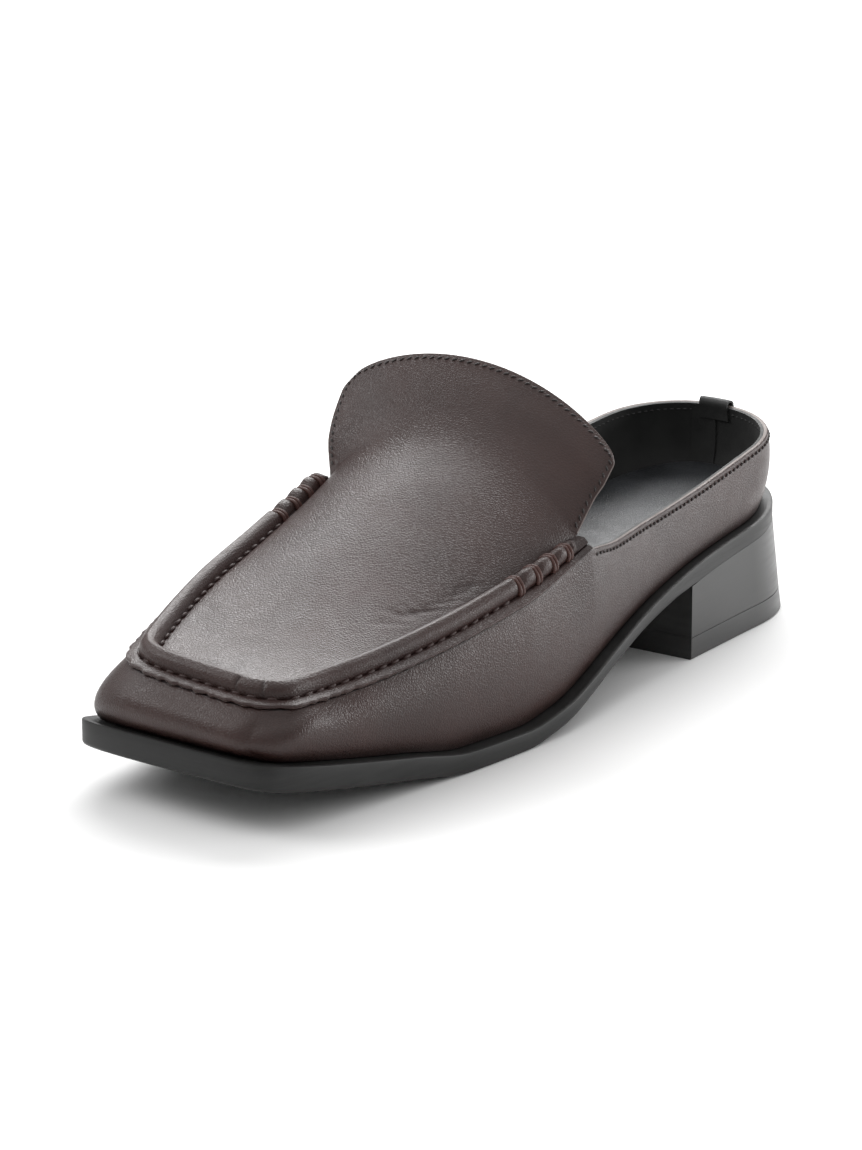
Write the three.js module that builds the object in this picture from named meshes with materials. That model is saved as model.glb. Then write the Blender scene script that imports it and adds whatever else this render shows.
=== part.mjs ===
// A left loafer mule with a moccasin seam and a block heel, standing empty on its sole.
// Millimetres, +Z up, floor at zero, toe towards -Y, outer side of the foot towards +X.
import * as THREE from "three";

// Sole and heel
const soleLength = 260;
const ballWidth = 85.6;
const toeSpring = 12.7;
const soleEdge = 7.4;
const waistEdge = 5;
const heelHeight = 26.2;
const heelLength = 70;
const heelRake = 4;
const heelFlare = 2.2;
const topPiece = 6.5;
const toeSlant = 0.05;
const slantLength = 60;
const toeCornerDepth = 8.5;
const heelRoundDepth = 34;
const edgeEase = 0.6;
const heelEase = 0.3;

// Upper
const wall = 2.2;
const throatHeight = 50;
const instepHeight = 93;
const collarHeight = 56;
const rollHeight = 3.6;
const rollWidth = 4.4;
const flangeWidth = 6.2;
const flangeStep = 0.9;
const toeSetback = 13;
const apronCornerDepth = 9;
const collarSetback = 2.2;
const collarRoundDepth = 27;

// Footbed and tab
const footbed = 3.5;
const tabWidth = 10.5;
const tabDepth = 8;
const tabLeather = 0.8;

// Clearances
const seatGap = 0.3;
const sideGap = 0.5;

const lateral = 1;
const medial = -1;
const halfBall = ballWidth / 2;

// Columns round one half of the shoe, from the middle of the toe to the middle of the heel
const toeColumns = 8;
const vampColumns = 22;
const backColumns = 19;
const tongueRowCount = 8;
const heelColumns = 26;
const throatColumn = toeColumns + vampColumns;
const halfColumns = throatColumn + backColumns;

// Plan of the sole: half widths as shares of half the ball width
const soleRows = [
  { along: 0.01, lateral: 0.64, medial: 0.88 },
  { along: 0.05, lateral: 0.715, medial: 0.9 },
  { along: 0.11, lateral: 0.785, medial: 0.915 },
  { along: 0.215, lateral: 0.879, medial: 0.955 },
  { along: 0.33, lateral: 0.963, medial: 1 },
  { along: 0.385, lateral: 0.988, medial: 0.99 },
  { along: 0.445, lateral: 1, medial: 0.93 },
  { along: 0.5, lateral: 0.975, medial: 0.838 },
  { along: 0.56, lateral: 0.925, medial: 0.745 },
  { along: 0.62, lateral: 0.877, medial: 0.686 },
  { along: 0.677, lateral: 0.838, medial: 0.656 },
  { along: 0.785, lateral: 0.783, medial: 0.65 },
  { along: 0.89, lateral: 0.74, medial: 0.643 },
  { along: 1, lateral: 0.72, medial: 0.62 },
];

// Side view of the sole: lift of its underside as shares of toe spring and heel height, and its edge
const liftRows = [
  { along: 0, toe: 1, heel: 0, edge: 1 },
  { along: 0.092, toe: 0.638, heel: 0, edge: 0.83 },
  { along: 0.204, toe: 0.26, heel: 0, edge: 0.58 },
  { along: 0.29, toe: 0, heel: 0, edge: 0.33 },
  { along: 0.377, toe: 0, heel: 0, edge: 0.17 },
  { along: 0.431, toe: 0, heel: 0.08, edge: 0.08 },
  { along: 0.538, toe: 0, heel: 0.385, edge: 0 },
  { along: 0.654, toe: 0, heel: 0.69, edge: 0 },
  { along: 0.769, toe: 0, heel: 0.888, edge: 0 },
  { along: 0.892, toe: 0, heel: 1, edge: 0 },
  { along: 1, toe: 0, heel: 1.153, edge: 0 },
];

// Foot of the wall: how far its feather line lies inside the sole edge, and how its side swells,
// in shares of the ledge
const ledge = 4.6;
const wallRows = [
  { along: 0, inset: 0.8, swell: 0.95, shoulder: 1.6 },
  { along: 0.12, inset: 0.9, swell: 0.75, shoulder: 1.05 },
  { along: 0.4, inset: 0.95, swell: 0.85, shoulder: 0.75 },
  { along: 0.55, inset: 0.85, swell: 0.8, shoulder: 0.5 },
  { along: 0.8, inset: 0.65, swell: 0.5, shoulder: 0.3 },
  { along: 1, inset: 0.65, swell: 0.55, shoulder: 0.35 },
];

// Crest of the moccasin seam: half widths as shares of half the ball width, heights as shares of
// the throat height
const crestRows = [
  { along: 0.05, lateral: 0.49, medial: 0.52, lateralHeight: 0.75, medialHeight: 0.805 },
  { along: 0.1, lateral: 0.53, medial: 0.63, lateralHeight: 0.752, medialHeight: 0.845 },
  { along: 0.16, lateral: 0.622, medial: 0.735, lateralHeight: 0.778, medialHeight: 0.9 },
  { along: 0.225, lateral: 0.7, medial: 0.82, lateralHeight: 0.82, medialHeight: 0.966 },
  { along: 0.3, lateral: 0.77, medial: 0.892, lateralHeight: 0.88, medialHeight: 1.03 },
  { along: 0.38, lateral: 0.822, medial: 0.948, lateralHeight: 0.955, medialHeight: 1.118 },
  { along: 0.44, lateral: 0.848, medial: 0.98, lateralHeight: 1.013, medialHeight: 1.2 },
  { along: 0.5, lateral: 0.868, medial: 1, lateralHeight: 1.075, medialHeight: 1.28 },
];
const throatAt = { lateral: 0.5, medial: 0.455 };

// Slope outside the crest, from the roll down to the edge of the flange, in shares of its width
const slopeRows = [
  { along: 0.03, run: 0.93, drop: 0.36, reach: 1.08 },
  { along: 0.2, run: 0.8, drop: 0.54, reach: 1 },
  { along: 0.38, run: 0.7, drop: 0.68, reach: 1 },
  { along: 0.46, run: 0.62, drop: 0.78, reach: 0.72 },
  { along: 0.5, run: 0.7, drop: 0.7, reach: 0.55 },
];

// Topline behind the throat: half widths as shares of half the ball width, heights as shares of the
// collar height
const toplineRows = [
  { along: 0.455, lateral: 0.94, medial: 1.045, lateralHeight: 0.875, medialHeight: 0.985 },
  { along: 0.5, lateral: 0.925, medial: 0.975, lateralHeight: 0.868, medialHeight: 0.935 },
  { along: 0.57, lateral: 0.86, medial: 0.85, lateralHeight: 0.822, medialHeight: 0.89 },
  { along: 0.65, lateral: 0.785, medial: 0.74, lateralHeight: 0.828, medialHeight: 0.88 },
  { along: 0.75, lateral: 0.735, medial: 0.66, lateralHeight: 0.858, medialHeight: 0.9 },
  { along: 0.85, lateral: 0.7, medial: 0.61, lateralHeight: 0.915, medialHeight: 0.94 },
  { along: 0.94, lateral: 0.66, medial: 0.57, lateralHeight: 0.97, medialHeight: 0.98 },
  { along: 1, lateral: 0.6, medial: 0.53, lateralHeight: 1, medialHeight: 1 },
];

// Crown of the apron from its toe (0) to the throat (1) and of the tongue to its rear edge (2):
// height of the arch and backward bow of a section as shares of the instep height
const crownRows = [
  { step: 0, arch: 0, bow: 0, fullness: 1 },
  { step: 0.25, arch: 0.012, bow: 0, fullness: 1 },
  { step: 0.5, arch: 0.05, bow: 0, fullness: 0.95 },
  { step: 0.75, arch: 0.125, bow: 0.01, fullness: 0.9 },
  { step: 1, arch: 0.196, bow: 0.02, fullness: 0.85 },
  { step: 1.25, arch: 0.18, bow: 0.026, fullness: 0.8 },
  { step: 1.5, arch: 0.168, bow: 0.031, fullness: 0.8 },
  { step: 1.75, arch: 0.158, bow: 0.034, fullness: 0.8 },
  { step: 2, arch: 0.149, bow: 0.035, fullness: 0.8 },
];

// Side edges of the tongue above the throat: how far out, as shares of half the ball width, how far
// along, as shares of the sole length, and heights as shares of the instep height
const tongueRows = {
  lateral: [
    { step: 1.25, out: 0.81, along: 0.533, height: 0.63 },
    { step: 1.5, out: 0.835, along: 0.55, height: 0.68 },
    { step: 1.75, out: 0.835, along: 0.565, height: 0.72 },
    { step: 2, out: 0.8, along: 0.573, height: 0.745 },
  ],
  medial: [
    { step: 1.25, out: 1.04, along: 0.479, height: 0.73 },
    { step: 1.5, out: 1.075, along: 0.499, height: 0.8 },
    { step: 1.75, out: 1.085, along: 0.515, height: 0.851 },
    { step: 2, out: 1.04, along: 0.53, height: 0.894 },
  ],
};

// Smooth curve through one column of a table, level where two rows are equal
function curve(rows, key, at = "along") {
  const x = rows.map((row) => row[at]);
  const y = rows.map((row) => row[key]);
  const gap = x.slice(1).map((value, i) => value - x[i]);
  const slope = gap.map((step, i) => (y[i + 1] - y[i]) / step);
  const tangent = x.map((_, i) => {
    if (i === 0) return slope[0];
    if (i === x.length - 1) return slope[i - 1];
    if (slope[i - 1] * slope[i] <= 0) return 0;
    const before = 2 * gap[i] + gap[i - 1];
    const after = gap[i] + 2 * gap[i - 1];
    return (before + after) / (before / slope[i - 1] + after / slope[i]);
  });
  return (value) => {
    const v = THREE.MathUtils.clamp(value, x[0], x[x.length - 1]);
    let i = 0;
    while (i < gap.length - 1 && v > x[i + 1]) i += 1;
    const t = (v - x[i]) / gap[i];
    const rise = 3 * t * t - 2 * t * t * t;
    return (
      y[i] * (1 - rise) +
      y[i + 1] * rise +
      gap[i] * (tangent[i] * t * (1 - t) ** 2 - tangent[i + 1] * t * t * (1 - t))
    );
  };
}

const sideName = (side) => (side === lateral ? "lateral" : "medial");
const bothSides = (rows, suffix = "", at = "along") => ({
  lateral: curve(rows, `lateral${suffix}`, at),
  medial: curve(rows, `medial${suffix}`, at),
});
const soleHalf = bothSides(soleRows);
const crestHalf = bothSides(crestRows);
const crestLift = bothSides(crestRows, "Height");
const collarHalf = bothSides(toplineRows);
const collarLift = bothSides(toplineRows, "Height");
const toeLift = curve(liftRows, "toe");
const heelLift = curve(liftRows, "heel");
const edgeShare = curve(liftRows, "edge");
const insetShare = curve(wallRows, "inset");
const swellShare = curve(wallRows, "swell");
const shoulderShare = curve(wallRows, "shoulder");
const slopeRun = curve(slopeRows, "run");
const slopeDrop = curve(slopeRows, "drop");
const slopeReach = curve(slopeRows, "reach");
const crownArch = curve(crownRows, "arch", "step");
const crownBow = curve(crownRows, "bow", "step");
const crownFullness = curve(crownRows, "fullness", "step");

// Heights of the sole at a distance from the toe
function underside(from) {
  const along = from / soleLength;
  return toeSpring * toeLift(along) + heelHeight * heelLift(along);
}

function soleTop(from) {
  return underside(from) + waistEdge + (soleEdge - waistEdge) * edgeShare(from / soleLength);
}

// A point of the shoe from its distance behind the toe, its place across and its height
// The toe is cut a little aslant.
function point(across, from, height) {
  const fade = Math.max(0, 1 - from / slantLength) ** 2;
  return new THREE.Vector3(across, from - toeSlant * across * fade, height);
}
const distance = (p) => p.y;

// Points along a chain, both ends kept, evenly spaced or crowded towards one end by the crowding
function spaced(chain, count, crowding = (t) => t) {
  const travel = [0];
  for (let i = 1; i < chain.length; i += 1) {
    travel.push(travel[i - 1] + chain[i].distanceTo(chain[i - 1]));
  }
  const total = travel[travel.length - 1];
  const result = [];
  let i = 1;
  for (let k = 0; k <= count; k += 1) {
    const goal = total * crowding(k / count);
    while (i < chain.length - 1 && travel[i] < goal) i += 1;
    const share = (goal - travel[i - 1]) / (travel[i] - travel[i - 1]);
    result.push(chain[i - 1].clone().lerp(chain[i], THREE.MathUtils.clamp(share, 0, 1)));
  }
  return result;
}

// Front of an outline on one side: from the middle of the squarish toe round its corner to the throat
const toeSquareness = 3.8;
const heelSquareness = 2.25;
const toeCrowding = 1.4;
const flankCrowding = 1.35;
const fineCount = 48;
const fineSteps = [...Array(fineCount + 1).keys()].map((k) => k / fineCount);

const place = (side, shape) => (across, from) => {
  const { half, height } = shape;
  const middle = (height(side, from) + height(-side, from)) / 2;
  const own = THREE.MathUtils.lerp(middle, height(side, from), across);
  return point(side * half(side, from) * across, from, own);
};

function frontStretch(side, shape) {
  const { front, cornerDepth } = shape;
  const throat = throatAt[sideName(side)] * soleLength;
  const corner = Math.PI / 4;
  const spot = place(side, shape);
  const round = (angle) => {
    const from = front + cornerDepth * (1 - Math.cos(angle) ** (2 / toeSquareness));
    return spot(Math.sin(angle) ** (2 / toeSquareness), from);
  };
  const toe = fineSteps.map((t) => round(corner * t));
  const bend = fineSteps.map((t) => round(corner + (Math.PI / 2 - corner) * t));
  const start = front + cornerDepth;
  const flank = fineSteps.slice(1).map((t) => spot(1, start + (throat - start) * t));
  const toCorner = (t) => 1 - (1 - t) ** toeCrowding;
  const fromCorner = (t) => t ** flankCrowding;
  return [
    ...spaced(toe, toeColumns, toCorner),
    ...spaced([...bend, ...flank], vampColumns, fromCorner).slice(1),
  ];
}

// Back of an outline on one side: from the throat to the middle of the round heel
function backStretch(side, shape) {
  const { back, heelDepth } = shape;
  const throat = throatAt[sideName(side)] * soleLength;
  const spot = place(side, shape);
  const end = back - heelDepth;
  const rear = fineSteps.map((t) => spot(1, throat + (end - throat) * t));
  const heel = fineSteps.slice(1).map((t) => {
    const angle = (Math.PI / 2) * (1 - t);
    const from = end + heelDepth * Math.cos(angle) ** (2 / heelSquareness);
    return spot(Math.sin(angle) ** (2 / heelSquareness), from);
  });
  return spaced([...rear, ...heel], backColumns).slice(1);
}

const halfOutline = (side, shape) => [...frontStretch(side, shape), ...backStretch(side, shape)];

// Outline of the sole drawn in by an inset, with the height of every point
function soleOutline(side, inset, height) {
  return halfOutline(side, {
    half: (s, from) => soleHalf[sideName(s)](from / soleLength) * halfBall - inset(from),
    front: inset(0),
    back: soleLength - inset(soleLength),
    cornerDepth: toeCornerDepth,
    heelDepth: heelRoundDepth,
    height: (s, from) => height(from),
  });
}

// A closed solid from levels of paired half outlines, the lowest first, closed by rungs across
function loft(levels) {
  const columns = levels[0].lateral.length - 1;
  const ring = 2 * columns;
  const positions = [];
  levels.forEach(({ lateral: right, medial: left }) => {
    right.forEach((p) => positions.push(p.x, p.y, p.z));
    left.slice(1, columns).reverse().forEach((p) => positions.push(p.x, p.y, p.z));
  });
  const faces = [];
  for (let level = 0; level < levels.length - 1; level += 1) {
    for (let i = 0; i < ring; i += 1) {
      const a = level * ring + i;
      const b = level * ring + ((i + 1) % ring);
      faces.push(a, b, b + ring, a, b + ring, a + ring);
    }
  }
  const top = (levels.length - 1) * ring;
  for (let i = 0; i < columns; i += 1) {
    const right = i;
    const left = (ring - i) % ring;
    const nextLeft = ring - i - 1;
    if (i > 0) faces.push(top + right, top + right + 1, top + left, right, left, right + 1);
    if (i < columns - 1) {
      faces.push(top + left, top + right + 1, top + nextLeft, left, nextLeft, right + 1);
    }
  }
  return solidGeometry(positions, faces);
}

function solidGeometry(positions, faces) {
  const geometry = new THREE.BufferGeometry();
  geometry.setAttribute("position", new THREE.Float32BufferAttribute(positions, 3));
  geometry.setIndex(faces);
  geometry.computeVertexNormals();
  return geometry;
}

const level = (outline) => ({ lateral: outline(lateral), medial: outline(medial) });

// Outsole: one thin unit, its edge eased a little at top and bottom
const flush = () => 0;
const eased = () => edgeEase;
const outsoleShape = loft([
  level((side) => soleOutline(side, eased, underside)),
  level((side) => soleOutline(side, flush, (from) => underside(from) + edgeEase)),
  level((side) => soleOutline(side, flush, (from) => soleTop(from) - edgeEase)),
  level((side) => soleOutline(side, eased, soleTop)),
]);

// Heel: the seat outline drawn out backwards as it nears the floor
const breast = soleLength - heelLength;

function heelOutline(side, inset, spread, height) {
  const rake = heelRake * spread;
  const half = (from) => {
    const flare = (heelFlare * spread * (from - breast)) / heelLength;
    return soleHalf[sideName(side)](from / soleLength) * halfBall - inset + flare;
  };
  const spot = (across, from) => {
    const carried = breast + ((from - breast) * (heelLength + rake)) / heelLength;
    return point(side * half(from) * across, carried, height(from));
  };
  const end = soleLength - inset - heelRoundDepth;
  const flank = fineSteps.map((t) => spot(1, breast + (end - breast) * t));
  const round = fineSteps.slice(1).map((t) => {
    const angle = (Math.PI / 2) * (1 - t);
    const from = end + heelRoundDepth * Math.cos(angle) ** (2 / heelSquareness);
    return spot(Math.sin(angle) ** (2 / heelSquareness), from);
  });
  return [spot(0, breast), ...spaced([...flank, ...round], heelColumns)];
}

const heelBottom = topPiece + seatGap;
const spreadAt = (height) => 1 - height / heelHeight;
const heelBlockShape = loft([
  level((side) => heelOutline(side, heelEase, spreadAt(heelBottom), () => heelBottom)),
  level((side) => heelOutline(side, 0, spreadAt(heelBottom), () => heelBottom + heelEase)),
  level((side) => heelOutline(side, 0, 0, (from) => underside(from) - seatGap)),
]);
const topPieceShape = loft([
  level((side) => heelOutline(side, heelEase, 1, () => 0)),
  level((side) => heelOutline(side, 0, 1, () => heelEase)),
  level((side) => heelOutline(side, 0, spreadAt(topPiece), () => topPiece)),
]);

// Foot of the wall, resting on the sole inside its ledge
const feather = (from) => ledge * insetShare(from / soleLength);
const seat = (from) => soleTop(from) + seatGap;
const featherLine = level((side) => soleOutline(side, feather, seat));

// Base line of the seam under the crest of its roll, from the toe to the throat
const crestShape = {
  half: (s, from) => crestHalf[sideName(s)](from / soleLength) * halfBall,
  front: toeSetback,
  cornerDepth: apronCornerDepth,
  height: (s, from) => crestLift[sideName(s)](from / soleLength) * throatHeight - rollHeight,
};
const crestLine = level((side) => frontStretch(side, crestShape));

// Topline from the throat round the heel
const collarShape = {
  half: (s, from) => collarHalf[sideName(s)](from / soleLength) * halfBall,
  back: soleLength - collarSetback,
  heelDepth: collarRoundDepth,
  height: (s, from) => collarLift[sideName(s)](from / soleLength) * collarHeight,
};
const collarLine = level((side) => backStretch(side, collarShape));

// Columns are numbered from the middle of the toe up to the heel, those of the inner side with a
// minus, and a column may lie between two others.
const ringColumns = 2 * halfColumns;
const up = new THREE.Vector3(0, 0, 1);

function wrap(column) {
  if (column > halfColumns) return column - ringColumns;
  return column < -halfColumns ? column + ringColumns : column;
}

function along(line, column) {
  const wrapped = wrap(column);
  const half = wrapped < 0 ? line.medial : line.lateral;
  const whole = Math.min(Math.floor(Math.abs(wrapped)), half.length - 2);
  return half[whole].clone().lerp(half[whole + 1], Math.abs(wrapped) - whole);
}

// Outward direction across a line, level with the floor
function outward(line, column) {
  const open = line.lateral.length - 1 < halfColumns;
  const last = line.lateral.length - 1;
  const ahead = open ? Math.min(column + 1, last) : column + 1;
  const behind = open ? Math.max(column - 1, -last) : column - 1;
  const run = along(line, ahead).sub(along(line, behind));
  return new THREE.Vector3(run.y, -run.x, 0).normalize();
}

// Slope from the crest of the seam down to the outer edge of its flange
function seamFrame(column) {
  const foot = along(crestLine, column);
  const out = outward(crestLine, column);
  const share = distance(foot) / soleLength;
  const run = slopeRun(share);
  const drop = slopeDrop(share);
  const slope = out.clone().multiplyScalar(run).addScaledVector(up, -drop).normalize();
  const rise = out.clone().multiplyScalar(drop).addScaledVector(up, run).normalize();
  return { foot, out, slope, rise, reach: flangeWidth * slopeReach(share) };
}

// Top of the wall: the edge of the flange in front and the topline behind the throat
function wallTop(anyColumn) {
  const column = wrap(anyColumn);
  const place = Math.abs(column);
  if (place <= throatColumn) {
    const { foot, slope, reach } = seamFrame(column);
    return foot.addScaledVector(slope, reach);
  }
  const start = wallTop(throatColumn * Math.sign(column));
  const line = [start, ...(column < 0 ? collarLine.medial : collarLine.lateral)];
  const behind = place - throatColumn;
  const whole = Math.min(Math.floor(behind), line.length - 2);
  return line[whole].clone().lerp(line[whole + 1], behind - whole);
}

// Side of the wall from its foot (0) to its top (1)
const bulgeLow = 0.3;
const bulgeHigh = 0.34;

function wallPoint(column, t) {
  const foot = along(featherLine, column);
  const top = wallTop(column);
  const out = outward(featherLine, column);
  const share = distance(foot) / soleLength;
  const tall = top.z - foot.z;
  const low = foot.clone().addScaledVector(out, ledge * swellShare(share));
  low.z += tall * bulgeLow;
  const high = top.clone().addScaledVector(out, ledge * shoulderShare(share));
  high.z -= tall * bulgeHigh;
  return new THREE.CubicBezierCurve3(foot, low, high, top).getPoint(t);
}

// Section of the raised seam: place down the outer slope as a share of its reach, place inwards over
// the apron as a share of the width of the roll, rise as a share of its height, and lean of that rise
// from square to the slope (0) to upright (1)
const seamRows = [
  { outside: 1, inside: 0, rise: 0, lean: 0 },
  { outside: 0.96, inside: 0, rise: flangeStep / rollHeight, lean: 0 },
  { outside: 0.46, inside: 0, rise: 0.22, lean: 0 },
  { outside: 0.36, inside: 0, rise: 0.55, lean: 0.2 },
  { outside: 0.18, inside: 0, rise: 0.92, lean: 0.4 },
  { outside: 0, inside: 0, rise: 1, lean: 0.5 },
  { outside: 0, inside: 0.25, rise: 0.9, lean: 0.6 },
  { outside: 0, inside: 0.48, rise: 0.45, lean: 0.8 },
  { outside: 0, inside: 0.62, rise: 0, lean: 1 },
];

function seamPoint(column, row, raised) {
  const { foot, out, slope, rise, reach } = seamFrame(column);
  const normal = rise.clone().lerp(up, row.lean).normalize();
  const height = raised ? row.rise * rollHeight : 0;
  return foot
    .addScaledVector(slope, reach * row.outside)
    .addScaledVector(out, -rollWidth * row.inside)
    .addScaledVector(normal, height);
}

// Side edges of the apron and the tongue, from the toe corners (step 0) past the throat (step 1) to
// the rear corners of the tongue (step 2)
const apronRow = seamRows[seamRows.length - 1];

function tongueEdge(side) {
  const name = sideName(side);
  const start = seamPoint(side * throatColumn, apronRow, false);
  const rows = [
    { step: 1, across: start.x, from: distance(start), height: start.z },
    ...tongueRows[name].map((row) => ({
      step: row.step,
      across: side * row.out * halfBall,
      from: row.along * soleLength,
      height: row.height * instepHeight,
    })),
  ];
  const across = curve(rows, "across", "step");
  const from = curve(rows, "from", "step");
  const height = curve(rows, "height", "step");
  return (step) => point(across(step), from(step), height(step));
}

const tongueSide = { lateral: tongueEdge(lateral), medial: tongueEdge(medial) };

function apronEdge(side, row) {
  if (row <= vampColumns) return seamPoint(side * (toeColumns + row), apronRow, false);
  return tongueSide[sideName(side)](1 + (row - vampColumns) / tongueRowCount);
}

// A point of the apron or the tongue: row from the toe back, across from the inner side (0) to the
// outer side (1)
const toeBlend = 0.3;
const edgeGather = 0.5;

function apronPoint(row, across) {
  const step = row <= vampColumns ? row / vampColumns : 1 + (row - vampColumns) / tongueRowCount;
  const gather = edgeGather * Math.min(1, step);
  const share = across + gather * ((1 - Math.cos(Math.PI * across)) / 2 - across);
  const place = apronEdge(medial, row).lerp(apronEdge(lateral, row), share);
  const shape = Math.max(0, 1 - (2 * share - 1) ** 2) ** crownFullness(step);
  const fromToe = seamPoint((2 * across - 1) * toeColumns, apronRow, false)
    .sub(apronEdge(medial, 0).lerp(apronEdge(lateral, 0), across));
  place.addScaledVector(fromToe, Math.max(0, 1 - step / toeBlend) ** 2);
  place.z += crownArch(step) * instepHeight * shape;
  place.y += crownBow(step) * instepHeight * shape;
  return place;
}

// The fold between apron and tongue softened by a weighted mean along each column of the sheet;
// the edges and both ends of the sheet stay where they are
const foldRound = 11;

function softened(grid) {
  const last = grid.length - 1;
  return grid.map((line, row) => line.map((place, i) => {
    const column = grid.map((other) => other[i]);
    const sum = new THREE.Vector3();
    let total = 0;
    column.forEach((other, k) => {
      const span = column[Math.max(0, k - 1)].distanceTo(column[Math.min(last, k + 1)]);
      const weight = span * Math.exp(-((other.distanceTo(place) / foldRound) ** 2));
      sum.addScaledVector(other, weight);
      total += weight;
    });
    const ends = Math.min(place.distanceTo(column[0]), place.distanceTo(column[last]));
    const across = (2 * i) / (line.length - 1) - 1;
    const pull = (1 - across ** 4) * Math.min(1, ends / (2 * foldRound));
    return place.clone().lerp(sum.divideScalar(total), pull);
  }));
}

// The upper: wall, seam, apron and tongue as one sheet, and the same sheet without the raised seam
// set inwards by the thickness of the wall
const wallLevels = [0, 0.05, 0.12, 0.22, 0.35, 0.5, 0.65, 0.8, 0.91, 1];
const apronRowCount = vampColumns + tongueRowCount;

function upperGeometry() {
  const outer = [];
  const plain = [];
  const faces = [];
  const add = (p, q = p) => {
    outer.push(p);
    plain.push(q);
    return outer.length - 1;
  };
  const quad = (a, b, c, d) => faces.push(a, b, c, a, c, d);

  const columns = [...Array(ringColumns).keys()].map((i) => (i > halfColumns ? i - ringColumns : i));
  const ring = (column) => (column + ringColumns) % ringColumns;
  const wallGrid = wallLevels.map((t) => columns.map((column) => add(wallPoint(column, t))));
  for (let r = 0; r < wallLevels.length - 1; r += 1) {
    columns.forEach((_, i) => {
      const next = (i + 1) % ringColumns;
      quad(wallGrid[r][i], wallGrid[r][next], wallGrid[r + 1][next], wallGrid[r + 1][i]);
    });
  }

  const front = [...Array(2 * throatColumn + 1).keys()].map((i) => i - throatColumn);
  const topRow = wallGrid[wallGrid.length - 1];
  const seamGrid = seamRows.map((row, r) =>
    front.map((column) =>
      r === 0 ? topRow[ring(column)] : add(seamPoint(column, row, true), seamPoint(column, row, false)),
    ),
  );
  for (let r = 0; r < seamRows.length - 1; r += 1) {
    for (let i = 0; i < front.length - 1; i += 1) {
      quad(seamGrid[r][i], seamGrid[r][i + 1], seamGrid[r + 1][i + 1], seamGrid[r + 1][i]);
    }
  }

  const inside = seamGrid[seamGrid.length - 1];
  const seamAt = (column) => inside[column + throatColumn];
  const width = 2 * toeColumns;
  const apronGrid = [];
  const sheet = softened([...Array(apronRowCount + 1).keys()].map((row) =>
    [...Array(width + 1).keys()].map((i) => apronPoint(row, i / width))));
  for (let row = 0; row <= apronRowCount; row += 1) {
    apronGrid.push([...Array(width + 1).keys()].map((i) => {
      if (row === 0) return seamAt(i - toeColumns);
      if (row <= vampColumns && i === 0) return seamAt(-toeColumns - row);
      if (row <= vampColumns && i === width) return seamAt(toeColumns + row);
      return add(sheet[row][i]);
    }));
  }
  for (let row = 0; row < apronRowCount; row += 1) {
    for (let i = 0; i < width; i += 1) {
      quad(apronGrid[row][i], apronGrid[row][i + 1], apronGrid[row + 1][i + 1], apronGrid[row + 1][i]);
    }
  }

  const normals = solidGeometry(plain.flatMap((p) => p.toArray()), faces).getAttribute("normal");
  const inner = plain.map((p, i) => {
    const normal = new THREE.Vector3().fromBufferAttribute(normals, i);
    if (i < ringColumns) normal.setZ(0).normalize();
    return p.clone().addScaledVector(normal, -wall);
  });
  return solidGeometry(
    [...outer, ...inner].flatMap((p) => p.toArray()),
    closeSheet(faces, outer.length),
  );
}

// Faces of a sheet, of its turned copy and of the strips that join their open edges
function closeSheet(faces, count) {
  const closed = [...faces];
  const edges = new Set();
  for (let i = 0; i < faces.length; i += 3) {
    const [a, b, c] = faces.slice(i, i + 3);
    closed.push(a + count, c + count, b + count);
    [[a, b], [b, c], [c, a]].forEach(([p, q]) => edges.add(`${p} ${q}`));
  }
  edges.forEach((edge) => {
    const [p, q] = edge.split(" ").map(Number);
    if (!edges.has(`${q} ${p}`)) closed.push(p, p + count, q + count, p, q + count, q);
  });
  return closed;
}

// Footbed inside the wall
const footbedInset = (from) => feather(from) + wall + sideGap;
const footbedBase = (from) => soleTop(from) + seatGap;
const insoleShape = loft([
  level((side) => soleOutline(side, footbedInset, footbedBase)),
  level((side) => soleOutline(side, footbedInset, (from) => footbedBase(from) + footbed)),
]);

// Heel tab: a strap folded over the topline
const tabColumns = 6;
const tabSection = [1, 0.66, 0.33, 0.08];
const tabTurns = [0.2, 0.5, 0.8];

function tabGeometry() {
  const centre = wallTop(halfColumns);
  const step = wallTop(halfColumns - 1).distanceTo(centre);
  const sheetRows = (lift) =>
    [...Array(tabColumns + 1).keys()].map((k) => {
      const column = halfColumns - ((k / tabColumns - 0.5) * tabWidth) / step;
      const out = outward(featherLine, column);
      const top = wallTop(column);
      const tall = top.z - along(featherLine, column).z;
      const at = (depth, side) => {
        const p = wallPoint(column, 1 - (depth * tabDepth) / tall);
        return p.addScaledVector(out, side > 0 ? lift : -wall - lift);
      };
      const middle = top.clone().addScaledVector(out, -wall / 2);
      const bend = tabTurns.map((turn) => {
        const angle = Math.PI * turn;
        const radius = wall / 2 + lift;
        return middle.clone()
          .addScaledVector(out, radius * Math.cos(angle))
          .addScaledVector(up, radius * Math.sin(angle));
      });
      return [
        ...tabSection.map((depth) => at(depth, 1)),
        ...bend,
        ...[...tabSection].reverse().map((depth) => at(depth, -1)),
      ];
    });
  const under = sheetRows(seatGap);
  const over = sheetRows(seatGap + tabLeather);
  const length = over[0].length;
  const faces = [];
  for (let k = 0; k < tabColumns; k += 1) {
    for (let i = 0; i < length - 1; i += 1) {
      const a = k * length + i;
      faces.push(a, a + 1, a + length + 1, a, a + length + 1, a + length);
    }
  }
  const all = [...over.flat(), ...under.flat()];
  return solidGeometry(all.flatMap((p) => p.toArray()), closeSheet(faces, all.length / 2));
}

const brownLeather = new THREE.MeshStandardMaterial({ color: 0x4a3c39, roughness: 0.45 });
const blackLining = new THREE.MeshStandardMaterial({ color: 0x1d1d1f, roughness: 0.6 });
const blackSole = new THREE.MeshStandardMaterial({ color: 0x161616, roughness: 0.5 });

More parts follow.
